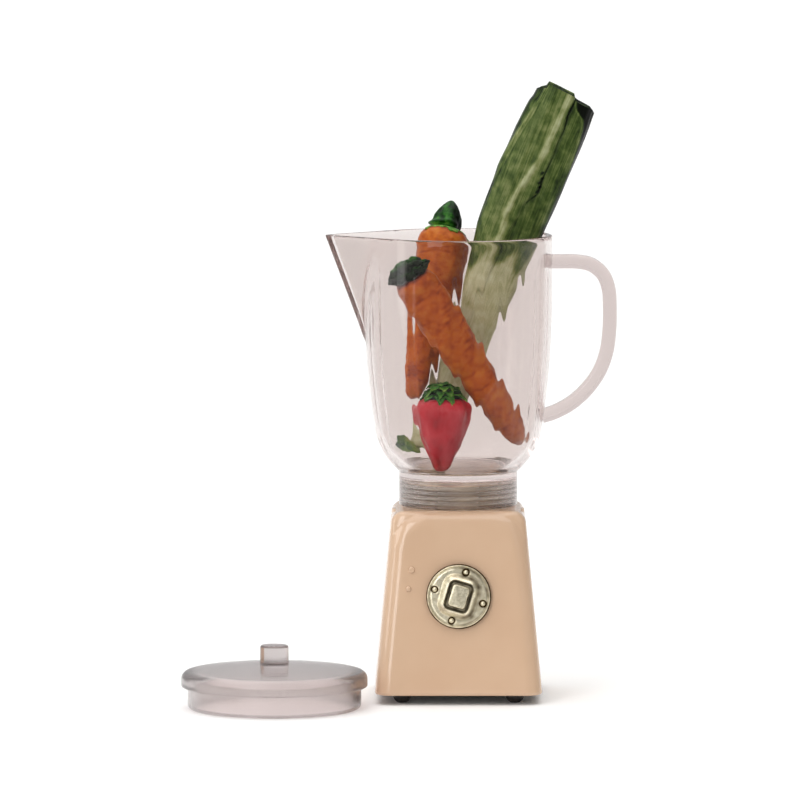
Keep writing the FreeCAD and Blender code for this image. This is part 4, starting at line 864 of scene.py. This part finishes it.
leek = {
    "foot": (-6.15, 3.6, 46.6), "head": (20.25, 1.7, 115.0), "length": 74.0,
    "stations": (0, 4.4, 26, 44.4, 74), "halfWidths": (3.5, 4.1, 4.45, 5.75, 6.2),
    "halfDepths": (3.1, 3.4, 3.5, 4.0, 4.05), "grow": (-0.4, -0.4, -0.4, 0.12, 0.1),
    "sideAt": (40, 46, 56, 64, 74), "leftGrow": (0, 0.25, 0.4, 0.0, -1.3),
    "rightGrow": (0, 0.1, 0.45, 0.5, 0.35),
    # lines over the front, as share of the half width at heights along the leek
    "crevice": ((0, 30, 45.5, 51.5, 54, 57.6, 61.7, 66.2, 69.5, 74),
                (-0.5, -0.3, -0.1, 0.06, 0.28, 0.25, 0.29, 0.31, 0.27, 0.3)),
    "band": ((0, 30, 45.1, 48.5, 53.5, 56.8, 60.1, 65.1, 71.6, 74),
             (-0.3, -0.4, -0.3, -0.38, -0.27, -0.15, 0.0, 0.08, 0.14, 0.17)),
    "left": ((0, 50, 62.3, 67.3, 70.8, 74), (-1.3, -1.15, -0.95, -0.82, -0.74, -0.68)),
    "right": ((0, 50, 64.5, 68.7, 70.8, 72.5, 74), (1.1, 0.98, 0.92, 0.85, 0.74, 0.5, 0.4)),
    # folds: the line that a fold follows, how far beside it, its width, millimetres out, how pale
    "folds": (("band", 0.0, 0.1, 0.26, 0.3), ("band", -0.07, 0.02, 0.0, 0.08),
              ("left", 0.04, 0.04, 0.12, 0.0), ("left", 0.03, 0.025, 0.0, 0.14),
              ("left", 0.1, 0.02, 0.0, 0.08), ("left", 0.14, 0.02, 0.0, -0.1),
              ("right", -0.05, 0.03, 0.0, 0.12)),
    # gape: the crevice's groove, and the painted shade that darkens it, both stronger where it
    # opens
    "gape": (("crevice", 0.04, 0.03, -0.25, 0.0), ("crevice", 0.04, 0.022, 0.0, -0.4)),
    "cutShare": (-1, -0.8, -0.6, -0.56, 0.3, 0.36, 0.46, 0.84, 1.0),
    "cut": (-1.9, -1.2, -0.7, 0.15, -0.35, -1.0, -1.2, -1.5, -2.2),
    "holes": ((0.22, 57.9), (0.27, 56.9), (0.24, 56.0), (0.3, 55.2), (0.28, 54.3)),
    "greenFrom": 36.0, "greenTo": 41.0, "leafyFrom": 20.0, "leafyTo": 46.0, "columns": 320,
    # the cut end: rings as shares of the rim, its layers' number and height, and its depth
    "endRings": (0.93, 0.8, 0.62, 0.42, 0.2), "layers": 9, "layerHeight": 0.35, "endSunk": 0.4,
}


def leekFolds(share, z, side, lines):
    # how far one side's overlapping leaves stand out, and how pale they are: bells beside the
    # lines, a step at the crevice, and a drop outside the left and right lines; the darker tone
    # down the crevice, beside its step and on the leaves under and beyond the left and right lines
    # is painted shade
    gaping = 0.35 + 0.65 * smoothStep(64, 70, z) + 0.4 * bump(z - 56, 5)  # at the top and the holes
    under = smoothStep(lines["left"], lines["left"] - 0.05, share)
    beyond = smoothStep(lines["right"] - 0.02, lines["right"] + 0.05, share)
    gap = lines["crevice"]
    lift = 0.5 * smoothStep(gap + 0.03, gap - 0.04, share) - 0.12 * under - 0.12 * beyond
    # painted shade: darker beside the crevice's step and on the leaves under the left line and
    # beyond the right line
    tone = -0.07 * smoothStep(gap, gap + 0.1, share) - 0.1 * under - 0.34 * beyond
    for folds, strength in ((leek["folds"], 1), (leek["gape"], gaping)):
        for line, beside, width, out, pale in folds:
            bell = strength * bump(share - lines[line] - beside, width)
            lift, tone = lift + out * bell, tone + pale * bell
    tone = tone + 0.06 * bump(share - lines["band"] + 0.3, 0.05) * smoothStep(62, 50, z)
    return lift * side, tone * side


def leekEnd(x, y, z):
    # rings inward from the rim over the cut end, a little lower, with the layers as waves
    inset = np.array(leek["endRings"])[:, None]
    endX, endY = x * inset, y * inset
    waves = endY / leek["halfDepths"][-1] * leek["layers"] + 0.8 * np.sin(endX * 0.6)
    layers = leek["layerHeight"] * np.sin(waves)
    endZ = (z - z.mean()) * inset + z.mean() - leek["endSunk"] + 0.3 * layers
    return np.stack([endX, endY, endZ], -1), layers


def makeLeek():
    # a rounded box section; overlapping leaves are steps and folds across its width
    length = leek["length"]
    rows = np.concatenate([np.linspace(0, length - 0.5, 210),
                           length - 0.5 + 0.5 * np.sin(np.linspace(0, math.pi / 2, 6)[1:])])
    turn = roundTurn(leek["columns"])
    halfWidth = np.interp(rows, leek["stations"], leek["halfWidths"])[:, None]
    halfDepth = np.interp(rows, leek["stations"], leek["halfDepths"])[:, None]
    power = 2 / (2.25 + 0.8 * (rows / length)[:, None])
    cos, sin = np.cos(turn), np.sin(turn)
    x = halfWidth * np.sign(cos) * np.abs(cos) ** power
    y = halfDepth * np.sign(sin) * np.abs(sin) ** power
    z = np.broadcast_to(rows[:, None], x.shape)
    share = x / halfWidth
    front = smoothStep(0.15, -0.15, y / halfDepth)
    leafy = smoothStep(leek["leafyFrom"], leek["leafyTo"], z)
    own = np.stack([x, y, z], -1)
    wander = 0.02 * softNoise(own * np.array([0, 0, 1]), 6, 24)
    lines = {name: np.interp(z, *leek[name]) for name in ("crevice", "band", "left", "right")}
    rear = {"crevice": 0.2 - lines["crevice"] + wander, "band": 0.3 - lines["band"],
            "left": lines["left"] + 0.2, "right": lines["right"] - 0.05}
    lines["crevice"] = lines["crevice"] + wander
    lift, tone = leekFolds(share, z, front * leafy, lines)
    rearLift, rearTone = leekFolds(share, z, (1 - front) * leafy, rear)
    lift, tone = lift + rearLift, tone + rearTone
    for holeShare, holeAt in leek["holes"]:  # small torn holes along the crevice, dented, and darkened inside with painted shade
        away = np.hypot((share - holeShare) * 6, z - holeAt - 2 * (share - holeShare))
        lift -= 0.3 * front * bump(away, 0.3)
        tone -= 0.6 * front * bump(away, 0.28)
    # painted shade: the leafy part darkens towards both side edges, more at the right
    tone -= leafy * (0.3 * smoothStep(0.84, 0.97, share) + 0.16 * smoothStep(-0.88, -1.0, share))
    tone -= 0.07 * smoothStep(66, 73, z)
    lift += 0.03 * softNoise(own * np.array([1, 1, 0.12]), 1.2, 21) + 0.06 * softNoise(own, 14, 22)
    lift += np.interp(z, leek["stations"], leek["grow"])
    lift += np.interp(z, leek["sideAt"], leek["leftGrow"]) * smoothStep(-0.3, -0.9, share)
    lift += np.interp(z, leek["sideAt"], leek["rightGrow"]) * smoothStep(0.3, 0.9, share)
    radial = np.stack([cos * halfDepth, sin * halfWidth], -1)
    radial = radial / np.linalg.norm(radial, axis=-1)[..., None]
    lift = lift * smoothStep(0, 3, z)
    x, y = x + radial[..., 0] * lift, y + radial[..., 1] * lift
    cut = np.interp(share, leek["cutShare"], leek["cut"])
    z = z + cut * smoothStep(length - 5, length - 0.5, z)
    border = rows[:, None] + 1.6 * softNoise(own * np.array([1, 1, 0.3]), 5, 23) - 2 * share
    green = smoothStep(leek["greenFrom"], leek["greenTo"], border)
    end, layers = leekEnd(x[-1], y[-1], z[-1])
    body = np.concatenate([np.stack([x, y, z], -1), end])
    shade = 0.86 - 0.42 * green + tone * (0.2 + 0.8 * green)
    shade = np.concatenate([shade, 0.16 + 0.15 * layers])
    grid = standAlong(body, leek["foot"], leek["head"])
    return makeObject("leekStem", [shell(grid, fields=ownFields(body, shade))], leekPaint)


leekPaint = paintedClay(
    "paintedClayLeek",
    [(0.0, "#060a03"), (0.2, "#1e2c10"), (0.34, "#3e4f22"), (0.46, "#5d6b38"), (0.6, "#818755"),
     (0.78, "#a6aa80"), (1.0, "#c0c4a2")],
    streakMm=0.3, along=6.0, patches=2.0, gloss=0.4)
dress(makeLeek(), "leek", "leek_paint", "leek")


rootLeaves = [  # torn leaves: direction and roll in degrees, length, width, lift, curl, height
    (184, -55, 5.0, 3.2, 0.5, -0.8, 0.7), (206, -60, 4.4, 3.4, 0.0, -0.4, 0.5),
    (160, 0, 4.2, 2.4, 0.2, -0.6, -0.6), (236, -50, 4.2, 3.4, -0.05, -0.2, 0.5),
    (-8, 50, 4.8, 1.5, 0.2, -0.7, 0.0), (-30, 30, 3.0, 1.6, 0.0, -0.4, 0.0),
    (120, 0, 3.0, 2.0, 0.1, -0.5, -0.6), (60, 0, 2.6, 1.8, 0.1, -0.5, -0.6)]


def makeRootLeaves():
    # torn leaves round the leek's foot, each a blade that is rolled, raised and spun
    shells = []
    for index, (angle, roll, length, width, lift, curl, height) in enumerate(rootLeaves):
        blade = leafBlade(length, width, 0.4, curl, lift, 0.15, 120 + index)
        side, up = rotated(blade[..., 1], blade[..., 2], roll)
        blade = spun(np.stack([blade[..., 0] + 2.7, side, up + height], -1), math.radians(angle))
        tone = np.linspace(1.0, 0.6, len(blade))[:, None]
        shells.append(shell(blade + np.array(leek["foot"]), fields=ownFields(blade, tone)))
    return makeObject("leekRootLeaves", shells, leafPaint)


carrotSkin = {
    "grooves": 26, "grooveDepth": 0.09, "grooveWidth": 0.16, "grooveTone": 0.12, "columns": 128,
    "dents": ((0.09, 5.5), (0.04, 1.7)),  # depth and size of the uneven skin, large and small
    "tone": 0.52, "crownTone": 0.3, "crownHeight": 0.7,
}


def carrotShell(carrot, seed):
    # arcs from a blunt tip through the flank to a rounded shoulder, then grooves part of the way
    # round, each a bell across its line, and dents
    random = np.random.default_rng(seed)
    length, radius, tip = carrot["length"], carrot["radius"], carrot["tip"]
    knots = [(0.02, 0.12), (tip * radius * 0.7, 0.25), (tip * radius, 0.03 * length),
             (carrot["middle"] * radius, 0.45 * length), (radius, 0.93 * length),
             (0.85 * radius, length), (0.35 * radius, 0.995 * length)]
    line = np.concatenate([
        [knots[0], knots[1]], arcPoints(knots[2], knots[3], length * 2, -1, 44),
        arcPoints(knots[3], knots[4], length * 2.5, -1, 44)[1:],
        arcPoints(knots[4], knots[5], radius * 0.95, -1, 14)[1:],
        [knots[6], (0.1, 0.985 * length)]])
    turn = roundTurn(carrotSkin["columns"])
    body = turned(line, carrotSkin["columns"])
    z = body[..., 2]
    change = sum(depth * softNoise(body, size, seed + index)
                 for index, (depth, size) in enumerate(carrotSkin["dents"]))
    tone = 0 * z
    for height in random.uniform(0.08, 0.93, carrotSkin["grooves"]) * length:
        start, width = random.uniform(0, fullTurn), random.uniform(0.5, 1.5)
        around = np.abs((turn - start + math.pi) % fullTurn - math.pi)
        groove = bump(z - height - 0.25 * np.sin(turn * 2 + start), carrotSkin["grooveWidth"])
        groove = groove * smoothStep(width + 0.3, width - 0.3, around)
        change -= carrotSkin["grooveDepth"] * groove
        tone -= carrotSkin["grooveTone"] * groove
    change *= smoothStep(0.5, 2, np.hypot(body[..., 0], body[..., 1]))
    return body + change[..., None] * roundAxis(1, turn, 0), tone


def leafBlob(centre, size, seed, squash):
    # a knobbly ball: a sphere whose radius changes with soft noise, squashed along each axis
    rows, columns = 18, 26
    rise = np.linspace(-math.pi / 2 + 0.12, math.pi / 2 - 0.12, rows)[:, None]
    turn = roundTurn(columns)
    ball = roundAxis(np.cos(rise), turn, np.sin(rise))
    grown = ball * (1 + 0.16 * softNoise(ball, 1.1, seed))[..., None]
    return np.array(centre) + grown * size * np.array(squash)


def leafBlade(length, width, thickness, curl, lift, twist, seed):
    # a pointed leaf that rises by lift, then curls over by curl radians; it lies along +X
    rows, columns = 22, 20
    along = np.linspace(0.02, 0.98, rows)[:, None]
    turn = roundTurn(columns)
    half = width / 2 * np.sin(np.pi * along ** 0.75) ** 0.8
    across = half * np.cos(turn)
    deep = thickness / 2 * np.sin(turn) * (0.35 + 0.65 * np.sin(np.pi * along))
    deep = deep + 0.35 * across ** 2 / width
    bend = lift - curl * along
    step = length / rows
    runX = np.cumsum(np.cos(bend) * step, 0)
    runZ = np.cumsum(np.sin(bend) * step, 0)
    x = runX - deep * np.sin(bend)
    z = runZ + deep * np.cos(bend) + twist * across * along
    grid = np.stack([x, across + 0 * x, z], -1)
    return grid + 0.05 * softNoise(grid, 0.9, seed)[..., None]


def spun(grid, angle):
    # turns a shape about the Z axis
    cos, sin = math.cos(angle), math.sin(angle)
    return grid @ np.array([[cos, sin, 0], [-sin, cos, 0], [0, 0, 1]])


carrotPaint = paintedClay(
    "paintedClayCarrot",
    [(0.0, "#200602"), (0.25, "#6a280e"), (0.42, "#9a4516"), (0.56, "#b05c20"), (0.75, "#be7630"),
     (1.0, "#cc9450")],
    streakMm=1.6, along=1.2, patches=3.5, gloss=0.35)
leafPaint = paintedClay(
    "paintedClayLeaf",
    [(0.0, "#010401"), (0.25, "#081a05"), (0.42, "#123a0c"), (0.58, "#2c641c"), (0.75, "#628c36"),
     (1.0, "#a0ae62")],
    streakMm=0.8, along=0.8, patches=2.0, gloss=0.35)
berryPaint = paintedClay(
    "paintedClayBerry",
    [(0.0, "#40040c"), (0.28, "#840e1a"), (0.46, "#ac1826"), (0.64, "#be3540"), (1.0, "#cc6a6c")],
    streakMm=1.2, along=4.0, patches=3.5, gloss=0.3)

backCarrot = {"foot": (-8.6, -1.8, 57.2), "head": (-2.1, 11.4, 89.4), "length": 33.4,
              "radius": 4.95, "middle": 0.7, "tip": 0.34, "stalkRadius": 2.75, "stalkLength": 6.9}
frontCarrot = {"foot": (12.35, -1.5, 48.25), "head": (-8.8, -8.0, 80.7), "length": 39.3,
               "radius": 3.8, "middle": 0.88, "tip": 0.48}


def makeCarrot(name, carrot, seed):
    # the carrot's shell, darker at its crown, laid along the line from its foot to its head
    body, tone = carrotShell(carrot, seed)
    crown = smoothStep(-carrotSkin["crownHeight"], 0, body[..., 2] - carrot["length"])
    shade = carrotSkin["tone"] + tone - carrotSkin["crownTone"] * crown
    grid = standAlong(body, carrot["foot"], carrot["head"])
    return makeObject(name, [shell(grid, fields=ownFields(body, shade))], carrotPaint)


for name, node, carrot, seed in (("carrotBackRoot", "carrot_back", backCarrot, 31),
                                 ("carrotFrontRoot", "carrot_front", frontCarrot, 41)):
    dress(makeCarrot(name, carrot, seed), node, "carrot_paint", node)
dress(makeRootLeaves(), "leek", "leek_paint")


hood = {
    "rows": ((0, 0.2, 6), (0.22, 0.34, 10), (0.37, 0.99, 26)), "columns": 96,
    "heights": (0, 0.3, 0.5, 0.7, 0.85, 0.95, 1.0),  # shares of the stub's length and radius
    "shares": (1.0, 1.0, 0.93, 0.74, 0.5, 0.27, 0.08),
    "lip": 0.24, "lipFacing": 3.4, "lipCut": 0.2, "lipSwell": 0.28, "foldSwell": 0.1,
    "tone": 0.3, "foldTone": 0.13, "lipTone": 0.35, "underLipShade": 0.3, "shadedSideTone": 0.3,
    "sunk": 0.2, "lean": 0.3,
}
collar = {"reach": 4.2, "waves": ((0.25, 5, 1), (0.25, 9, 0), (0.2, 17, 0)),  # depth, count, start
          "rise": 0.5, "droop": 0.9, "droopFrom": 3.5, "droopTo": 4.8, "thickness": 0.35,
          "tone": 0.72}


def hoodShape(turn):
    # rows up the stub, drawn in below a lip on its left, swollen over it, and ridged by folds; its
    # tone has painted shade under the lip and on its +X side
    rise = np.concatenate([np.linspace(*span) for span in hood["rows"]])[:, None]
    toLeft = (1 + np.cos(turn - hood["lipFacing"])) / 2
    lip = hood["lip"] + 0.04 * np.cos(turn - 1.0) + 0.03 * np.sin(3 * turn)
    radius = backCarrot["stalkRadius"] * np.interp(rise, hood["heights"], hood["shares"])
    radius = radius * (1 - hood["lipCut"] * toLeft * smoothStep(lip + 0.02, lip - 0.03, rise))
    folds = np.abs(np.sin(2.5 * turn + 4 * rise + 0.4))
    folds = folds + 0.5 * np.abs(np.sin(4.5 * turn - 3 * rise))
    swell = hood["lipSwell"] * bump(rise - lip - 0.03, 0.08) * toLeft
    radius = radius * (0.93 + swell + hood["foldSwell"] * folds)
    height = backCarrot["length"] - hood["sunk"] + (backCarrot["stalkLength"] + 0.1) * rise
    grid = roundAxis(radius, turn, height)
    grid[..., 0] += hood["lean"] * rise - 0.2
    tone = hood["tone"] + hood["foldTone"] * folds
    tone = tone + hood["lipTone"] * bump(rise - lip + 0.05, 0.05) * toLeft
    # painted shade: darker just under the lip all round, and on the stub's +X side
    tone = tone - hood["underLipShade"] * bump(rise - lip + 0.14, 0.05)
    return grid, tone - hood["shadedSideTone"] * smoothStep(0.5, 0.95, np.cos(turn + 0.3))


def collarShape(turn):
    # a flat ragged collar, its edge a sum of waves, that droops towards the edge
    edge = collar["reach"] + 0 * turn
    for depth, count, start in collar["waves"]:
        edge = edge + depth * np.sin(count * turn + start)
    spread = np.linspace(0.1, 1, 14)[:, None] * edge
    droop = collar["droop"] * smoothStep(collar["droopFrom"], collar["droopTo"], spread)
    upper = roundAxis(spread, turn, backCarrot["length"] + collar["rise"] - droop)
    return np.concatenate([upper, upper[::-1] - np.array([0, 0, collar["thickness"]])])


def makeBackLeaf():
    # a hooded stub of folded leaves over a ragged collar on the crown
    turn = roundTurn(hood["columns"])
    shells = []
    for grid, tone in (hoodShape(turn), (collarShape(turn), collar["tone"])):
        placed = standAlong(grid, backCarrot["foot"], backCarrot["head"])
        shells.append(shell(placed, fields=ownFields(grid, tone)))
    return makeObject("carrotBackLeaf", shells, leafPaint)


dress(makeBackLeaf(), "carrot_back", "carrot_paint")


frontCurls = [  # place on the crown and size of each curled leaf
    ((-1.6, -0.7, 2.1), 1.5), ((0.1, -1.2, 2.5), 1.45), ((1.8, -0.8, 2.0), 1.45),
    ((3.0, -0.4, 1.0), 1.2), ((-0.7, 1.2, 1.9), 1.5), ((1.2, 1.3, 1.7), 1.4),
    ((-2.6, 0.4, 1.0), 1.25), ((0.2, -2.0, 0.9), 1.25), ((-1.4, -1.9, 1.0), 1.1),
    ((1.9, -1.8, 0.8), 1.1)]


def makeFrontLeaf():
    # a clump of curled leaves, each a knobbly ball whose top is made paler with painted light
    top, shells = frontCarrot["length"], []
    for index, (place, size) in enumerate(frontCurls):
        grid = leafBlob(np.array(place) + np.array([0, 0, top]), size, 60 + index, (1.1, 1, 0.8))
        # painted light: each ball is paler towards its top, as if lit from above
        tone = 0.22 + 0.3 * smoothStep(0.2, 0.9, (grid[..., 2] - top - place[2]) / size)
        placed = standAlong(grid, frontCarrot["foot"], frontCarrot["head"])
        shells.append(shell(placed, fields=ownFields(grid, tone)))
    return makeObject("carrotFrontLeaf", shells, leafPaint)


dress(makeFrontLeaf(), "carrot_front", "carrot_paint")

berry = {"foot": (-3.1, -7.2, 43.85), "length": 13.9, "radius": 5.5,
         "heights": (0, 0.01, 0.04, 0.1, 0.18, 0.29, 0.47, 0.69, 0.8, 0.88, 0.94, 0.98, 1.0),
         "shares": (0.1, 0.2, 0.3, 0.37, 0.45, 0.59, 0.78, 0.94, 1.0, 0.98, 0.88, 0.68, 0.5),
         # rings of leaves: height over the fruit, how many, their length, lift and curl
         "rings": ((0.1, 9, 5.3, 0.0, 0.9), (0.5, 9, 5.0, 0.3, 1.2), (1.0, 8, 4.2, 0.6, 1.9),
                   (1.5, 7, 3.1, 0.95, 2.0), (1.9, 4, 1.9, 1.3, 2.0)),
         "leafWidth": 2.3, "leafThickness": 0.45}


def makeBerry():
    # pointed fruit, widest below its cap, with shallow lobes that run down to a blunt tip; painted
    # light and shade make the lobes' crests paler and the valleys between them darker
    length, radius = berry["length"], berry["radius"]
    rows = length * 0.5 * (1 - np.cos(np.linspace(0.1, math.pi - 0.2, 80)))
    line = np.interp(rows / length, berry["heights"], berry["shares"]) * radius
    line = np.convolve(np.pad(line, 3, mode="edge"), np.ones(7) / 7, mode="valid")
    turn = roundTurn(112)
    lobes = 0.035 * np.sin(5 * turn + 0.4) + 0.015 * np.sin(8 * turn)
    reach = line[:, None] * (1 + lobes * smoothStep(0.05, 0.4, rows / length)[:, None])
    own = roundAxis(reach, turn, rows[:, None])
    reach = reach - 0.08 + 0.1 * softNoise(own, 4.0, 51) * smoothStep(0, 1.5, rows)[:, None]
    body = roundAxis(reach, turn, rows[:, None])
    # painted light and shade: paler on the lobes' crests, darker in the valleys between them; also
    # darker towards the tip
    shade = 0.54 + 1.5 * lobes - 0.1 * smoothStep(length * 0.35, 0, rows)[:, None]
    grid = body + np.array(berry["foot"])
    return makeObject("strawberryFruit", [shell(grid, fields=ownFields(body, shade))], berryPaint)


dress(makeBerry(), "strawberry", "strawberry_paint", "strawberry")


def makeBerryLeaves():
    # curled sepals in rings, shorter and steeper towards the stalk
    random = np.random.default_rng(11)
    shells = []
    for height, count, length, lift, curl in berry["rings"]:
        for index in range(count):
            angle = fullTurn * (index + height) / count + random.uniform(-0.15, 0.15)
            blade = leafBlade(length * random.uniform(0.85, 1.05), berry["leafWidth"],
                              berry["leafThickness"], curl * random.uniform(0.85, 1.15), lift,
                              random.uniform(-0.3, 0.3), 80 + int(20 * height) + index)
            blade = spun(blade + np.array([0.5, 0, 0]), angle)
            blade = blade + np.array([0, 0, berry["length"] + height])
            tone = np.linspace(0.22, random.uniform(0.6, 0.9), len(blade))[:, None]
            shells.append(shell(blade + np.array(berry["foot"]), fields=ownFields(blade, tone)))
    return makeObject("strawberryLeaves", shells, leafPaint)


dress(makeBerryLeaves(), "strawberry", "strawberry_paint")
print("vegetables ready")


enamel = sprayedEnamel()


def castingSkin(x, y, z):
    # signed distance to the casting's outer side walls, which lean in and round over at the top
    top = casting["foot"] + casting["height"]
    half = casting["footHalf"] - castingLean * (z - casting["foot"])
    rise = np.clip(z - top + casting["topRound"], 0, casting["topRound"])
    inset = casting["topRound"] - np.sqrt(casting["topRound"] ** 2 - rise ** 2)
    return boxDistance(x, y, 2 * (half - inset), 2 * (half - inset), casting["corner"])


def cornerRoll(x, y, z):
    # depth by which a face rolls off towards its upper corners: the square of the way past an
    # arc, greatest on the diagonal and none straight beside or above the arc's centre
    up = z - casting["rollUp"]
    across = np.maximum(np.abs(x) + castingLean * up - casting["rollAcross"], 0)
    up = np.maximum(up, 0)
    away = np.hypot(across, up)
    roll = np.interp(away, (casting["rollFrom"], casting["rollTo"]), (0, 1)) ** 2
    diagonal = across * up / np.maximum(away ** 2, 1e-9)
    front = np.interp(np.abs(y), (casting["frontFrom"], casting["frontTo"]), (0, 1))
    outer = smoothStep(casting["skinFrom"], casting["skinTo"], castingSkin(x, y, z))
    return casting["rollDepth"] * roll * diagonal * front * outer


def makeHousing():
    # the casting's own solid, cut into small cells round its upper corners, whose faces roll off
    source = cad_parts["housing"]
    cells = bmesh.new()
    cells.from_mesh(source.data)
    cells.transform(source.matrix_world)
    bmesh.ops.remove_doubles(cells, verts=cells.verts[:], dist=closeBy)
    base = casting["rollUp"] * millimetre
    levels = np.arange(casting["rollUp"], casting["foot"] + casting["height"], casting["cell"])
    across = np.arange(casting["rollAcross"], casting["rollWidest"], casting["cell"])
    planes = [((0, 0, 1), z) for z in levels]
    planes += [((1, 0, 0), x) for x in np.concatenate([-across, across])]
    for normal, distance in planes:
        faces = [face for face in cells.faces
                 if max(corner.co.z for corner in face.verts) > base + closeBy]
        edges = dict.fromkeys(edge for face in faces for edge in face.edges)
        corners = dict.fromkeys(corner for face in faces for corner in face.verts)
        bmesh.ops.bisect_plane(cells, geom=[*faces, *edges, *corners], dist=closeBy / 10,
                               plane_co=Vector(normal) * distance * millimetre, plane_no=normal)
    mesh = bpy.data.meshes.new("housingCasting")
    cells.to_mesh(mesh)
    cells.free()
    places = np.empty(len(mesh.vertices) * 3)
    mesh.vertices.foreach_get("co", places)
    places = places.reshape(-1, 3) / millimetre
    places[:, 1] -= np.sign(places[:, 1]) * cornerRoll(*places.T)
    mesh.vertices.foreach_set("co", (places * millimetre).ravel())
    for name in ("custom_normal", "sharp_edge"):
        if name in mesh.attributes:
            mesh.attributes.remove(mesh.attributes[name])
    mesh.polygons.foreach_set("use_smooth", np.ones(len(mesh.polygons), bool))
    mesh.set_sharp_from_angle(angle=math.radians(casting["sharpAngle"]))
    mesh.materials.clear()
    mesh.materials.append(enamel)
    return addObject("housingCasting", mesh)


dress(makeHousing(), "base", "housing_enamel", "housing")

keptNodes = {  # these keep their own meshes and only take a finish
    "zincPlate": ("base_plate",),
    "screwSteel": ("base_plate_screws", "spigot_screw"),
    "springSteel": ("dial_clip", "button_clip", "button_spring", "spigot_washer"),
    "blackRubber": ("foot_front_left", "foot_front_right", "foot_back_left", "foot_back_right"),
}
for finish, names in keptNodes.items():
    material = plainFinish(finish)
    for name in names:
        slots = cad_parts[name].data.materials
        slots.clear()
        slots.append(material)
print("housing and small fittings ready")


stageLook = {"floor": "#fbfbfa", "world": "#ffffff", "reach": 30.0, "front": 0.17, "bounces": 128,
             "seen": 1.05,  # the backdrop as seen by itself or through clear plastic
             "bright": 0.66, "dim": 0.18,  # and as a light, from its brightest side to its darkest
             "brightSide": (-0.5, 0.45, 0.74), "brightFrom": 0.7, "dimFrom": -0.6}


def makeFloor():
    # a matt sheet that starts just in front of the object and runs far behind it
    made, tree = newMaterial("paperFloor")
    shader = addNode(tree, "BsdfPrincipled",
                     {"Base Color": linear(stageLook["floor"]), "Roughness": 0.9,
                      "Specular IOR Level": 0.1})
    addNode(tree, "OutputMaterial", links=[("Surface", shader)])
    mesh = bpy.data.meshes.new("floor")
    reach, front = stageLook["reach"], -stageLook["front"]
    mesh.from_pydata([(-reach, front, 0), (reach, front, 0), (reach, reach, 0), (-reach, reach, 0)],
                     [], [(0, 1, 2, 3)])
    mesh.materials.append(made)
    addObject("floor", mesh)


def aimed(name, data, place, aim):
    # an object at a place whose own -Z looks at its aim
    made = addObject(name, data)
    made.location, made.rotation_mode = place, "QUATERNION"
    made.rotation_quaternion = (Vector(aim) - Vector(place)).to_track_quat("-Z", "Y")
    return made


lampAim = (0, 0, 0.05)
lamps = {  # place in metres, width and height, watts
    "keyLeft": ((-0.62, -1.1, 0.55), (0.45, 1.0), 6.0),
    "fillRight": ((0.85, -0.85, 0.5), (0.35, 0.8), 0.5),
    "stripLeft": ((-1.15, -0.3, 0.25), (0.25, 0.9), 2.0),
}


def makeLamp(name):
    # an area lamp of the size and power in its row, aimed at the object
    place, size, power = lamps[name]
    lamp = bpy.data.lights.new(name, "AREA")
    lamp.shape, lamp.size, lamp.size_y = "RECTANGLE", *size
    lamp.energy = power
    aimed(name, lamp, place, lampAim)


ceiling = {"strength": 1.75, "spread": 75.0}  # one wide even light from straight above


def makeStage():
    # a paper floor, three soft lamps, one wide light from above and a pale surrounding whose
    # strength changes evenly from its dark to its bright side
    makeFloor()
    for name in lamps:
        makeLamp(name)
    sky = bpy.data.lights.new("ceiling", "SUN")
    sky.energy, sky.angle = ceiling["strength"], math.radians(ceiling["spread"])
    addObject("ceiling", sky)
    world = bpy.data.worlds.new("studio")
    world.use_nodes = True
    tree = world.node_tree
    tree.nodes.clear()
    path = addNode(tree, "LightPath")
    direct = addNode(tree, "Math", {"operation": "MAXIMUM"},
                     [(0, path.outputs["Is Camera Ray"]), (1, path.outputs["Is Transmission Ray"])])
    place = addNode(tree, "TexCoord")
    facing = addNode(tree, "VectorMath", {"operation": "DOT_PRODUCT", 1: stageLook["brightSide"]},
                     [(0, place.outputs["Generated"])])
    lighting = addNode(tree, "MapRange",
                       {"From Min": stageLook["dimFrom"], "From Max": stageLook["brightFrom"],
                        "To Min": stageLook["dim"], "To Max": stageLook["bright"]},
                       [("Value", facing.outputs["Value"])])
    strength = addNode(tree, "MapRange", {"To Max": stageLook["seen"]},
                       [("Value", direct), ("To Min", lighting)])
    light = addNode(tree, "Background", {"Color": linear(stageLook["world"])},
                    links=[("Strength", strength)])
    addNode(tree, "OutputWorld", links=[("Surface", light)])
    bpy.context.scene.world = world
    bpy.context.scene.view_settings.view_transform = "Standard"
    paths = bpy.context.scene.cycles  # light turns back and forth many times inside clear plastic
    paths.max_bounces = paths.transmission_bounces = paths.glossy_bounces = stageLook["bounces"]


view = {"place": (-0.0111, -1.5, 0.1965), "aim": (-0.0111, 0.0, 0.0566), "lens": 355.9,
        "sensor": 36.0, "farthest": 40.0}


def makeCamera():
    # a long lens from far away, a little above the floor
    data = bpy.data.cameras.new("camera")
    data.lens, data.sensor_width, data.clip_end = view["lens"], view["sensor"], view["farthest"]
    bpy.context.scene.camera = aimed("camera", data, view["place"], view["aim"])


makeStage()
makeCamera()
print("stage ready")
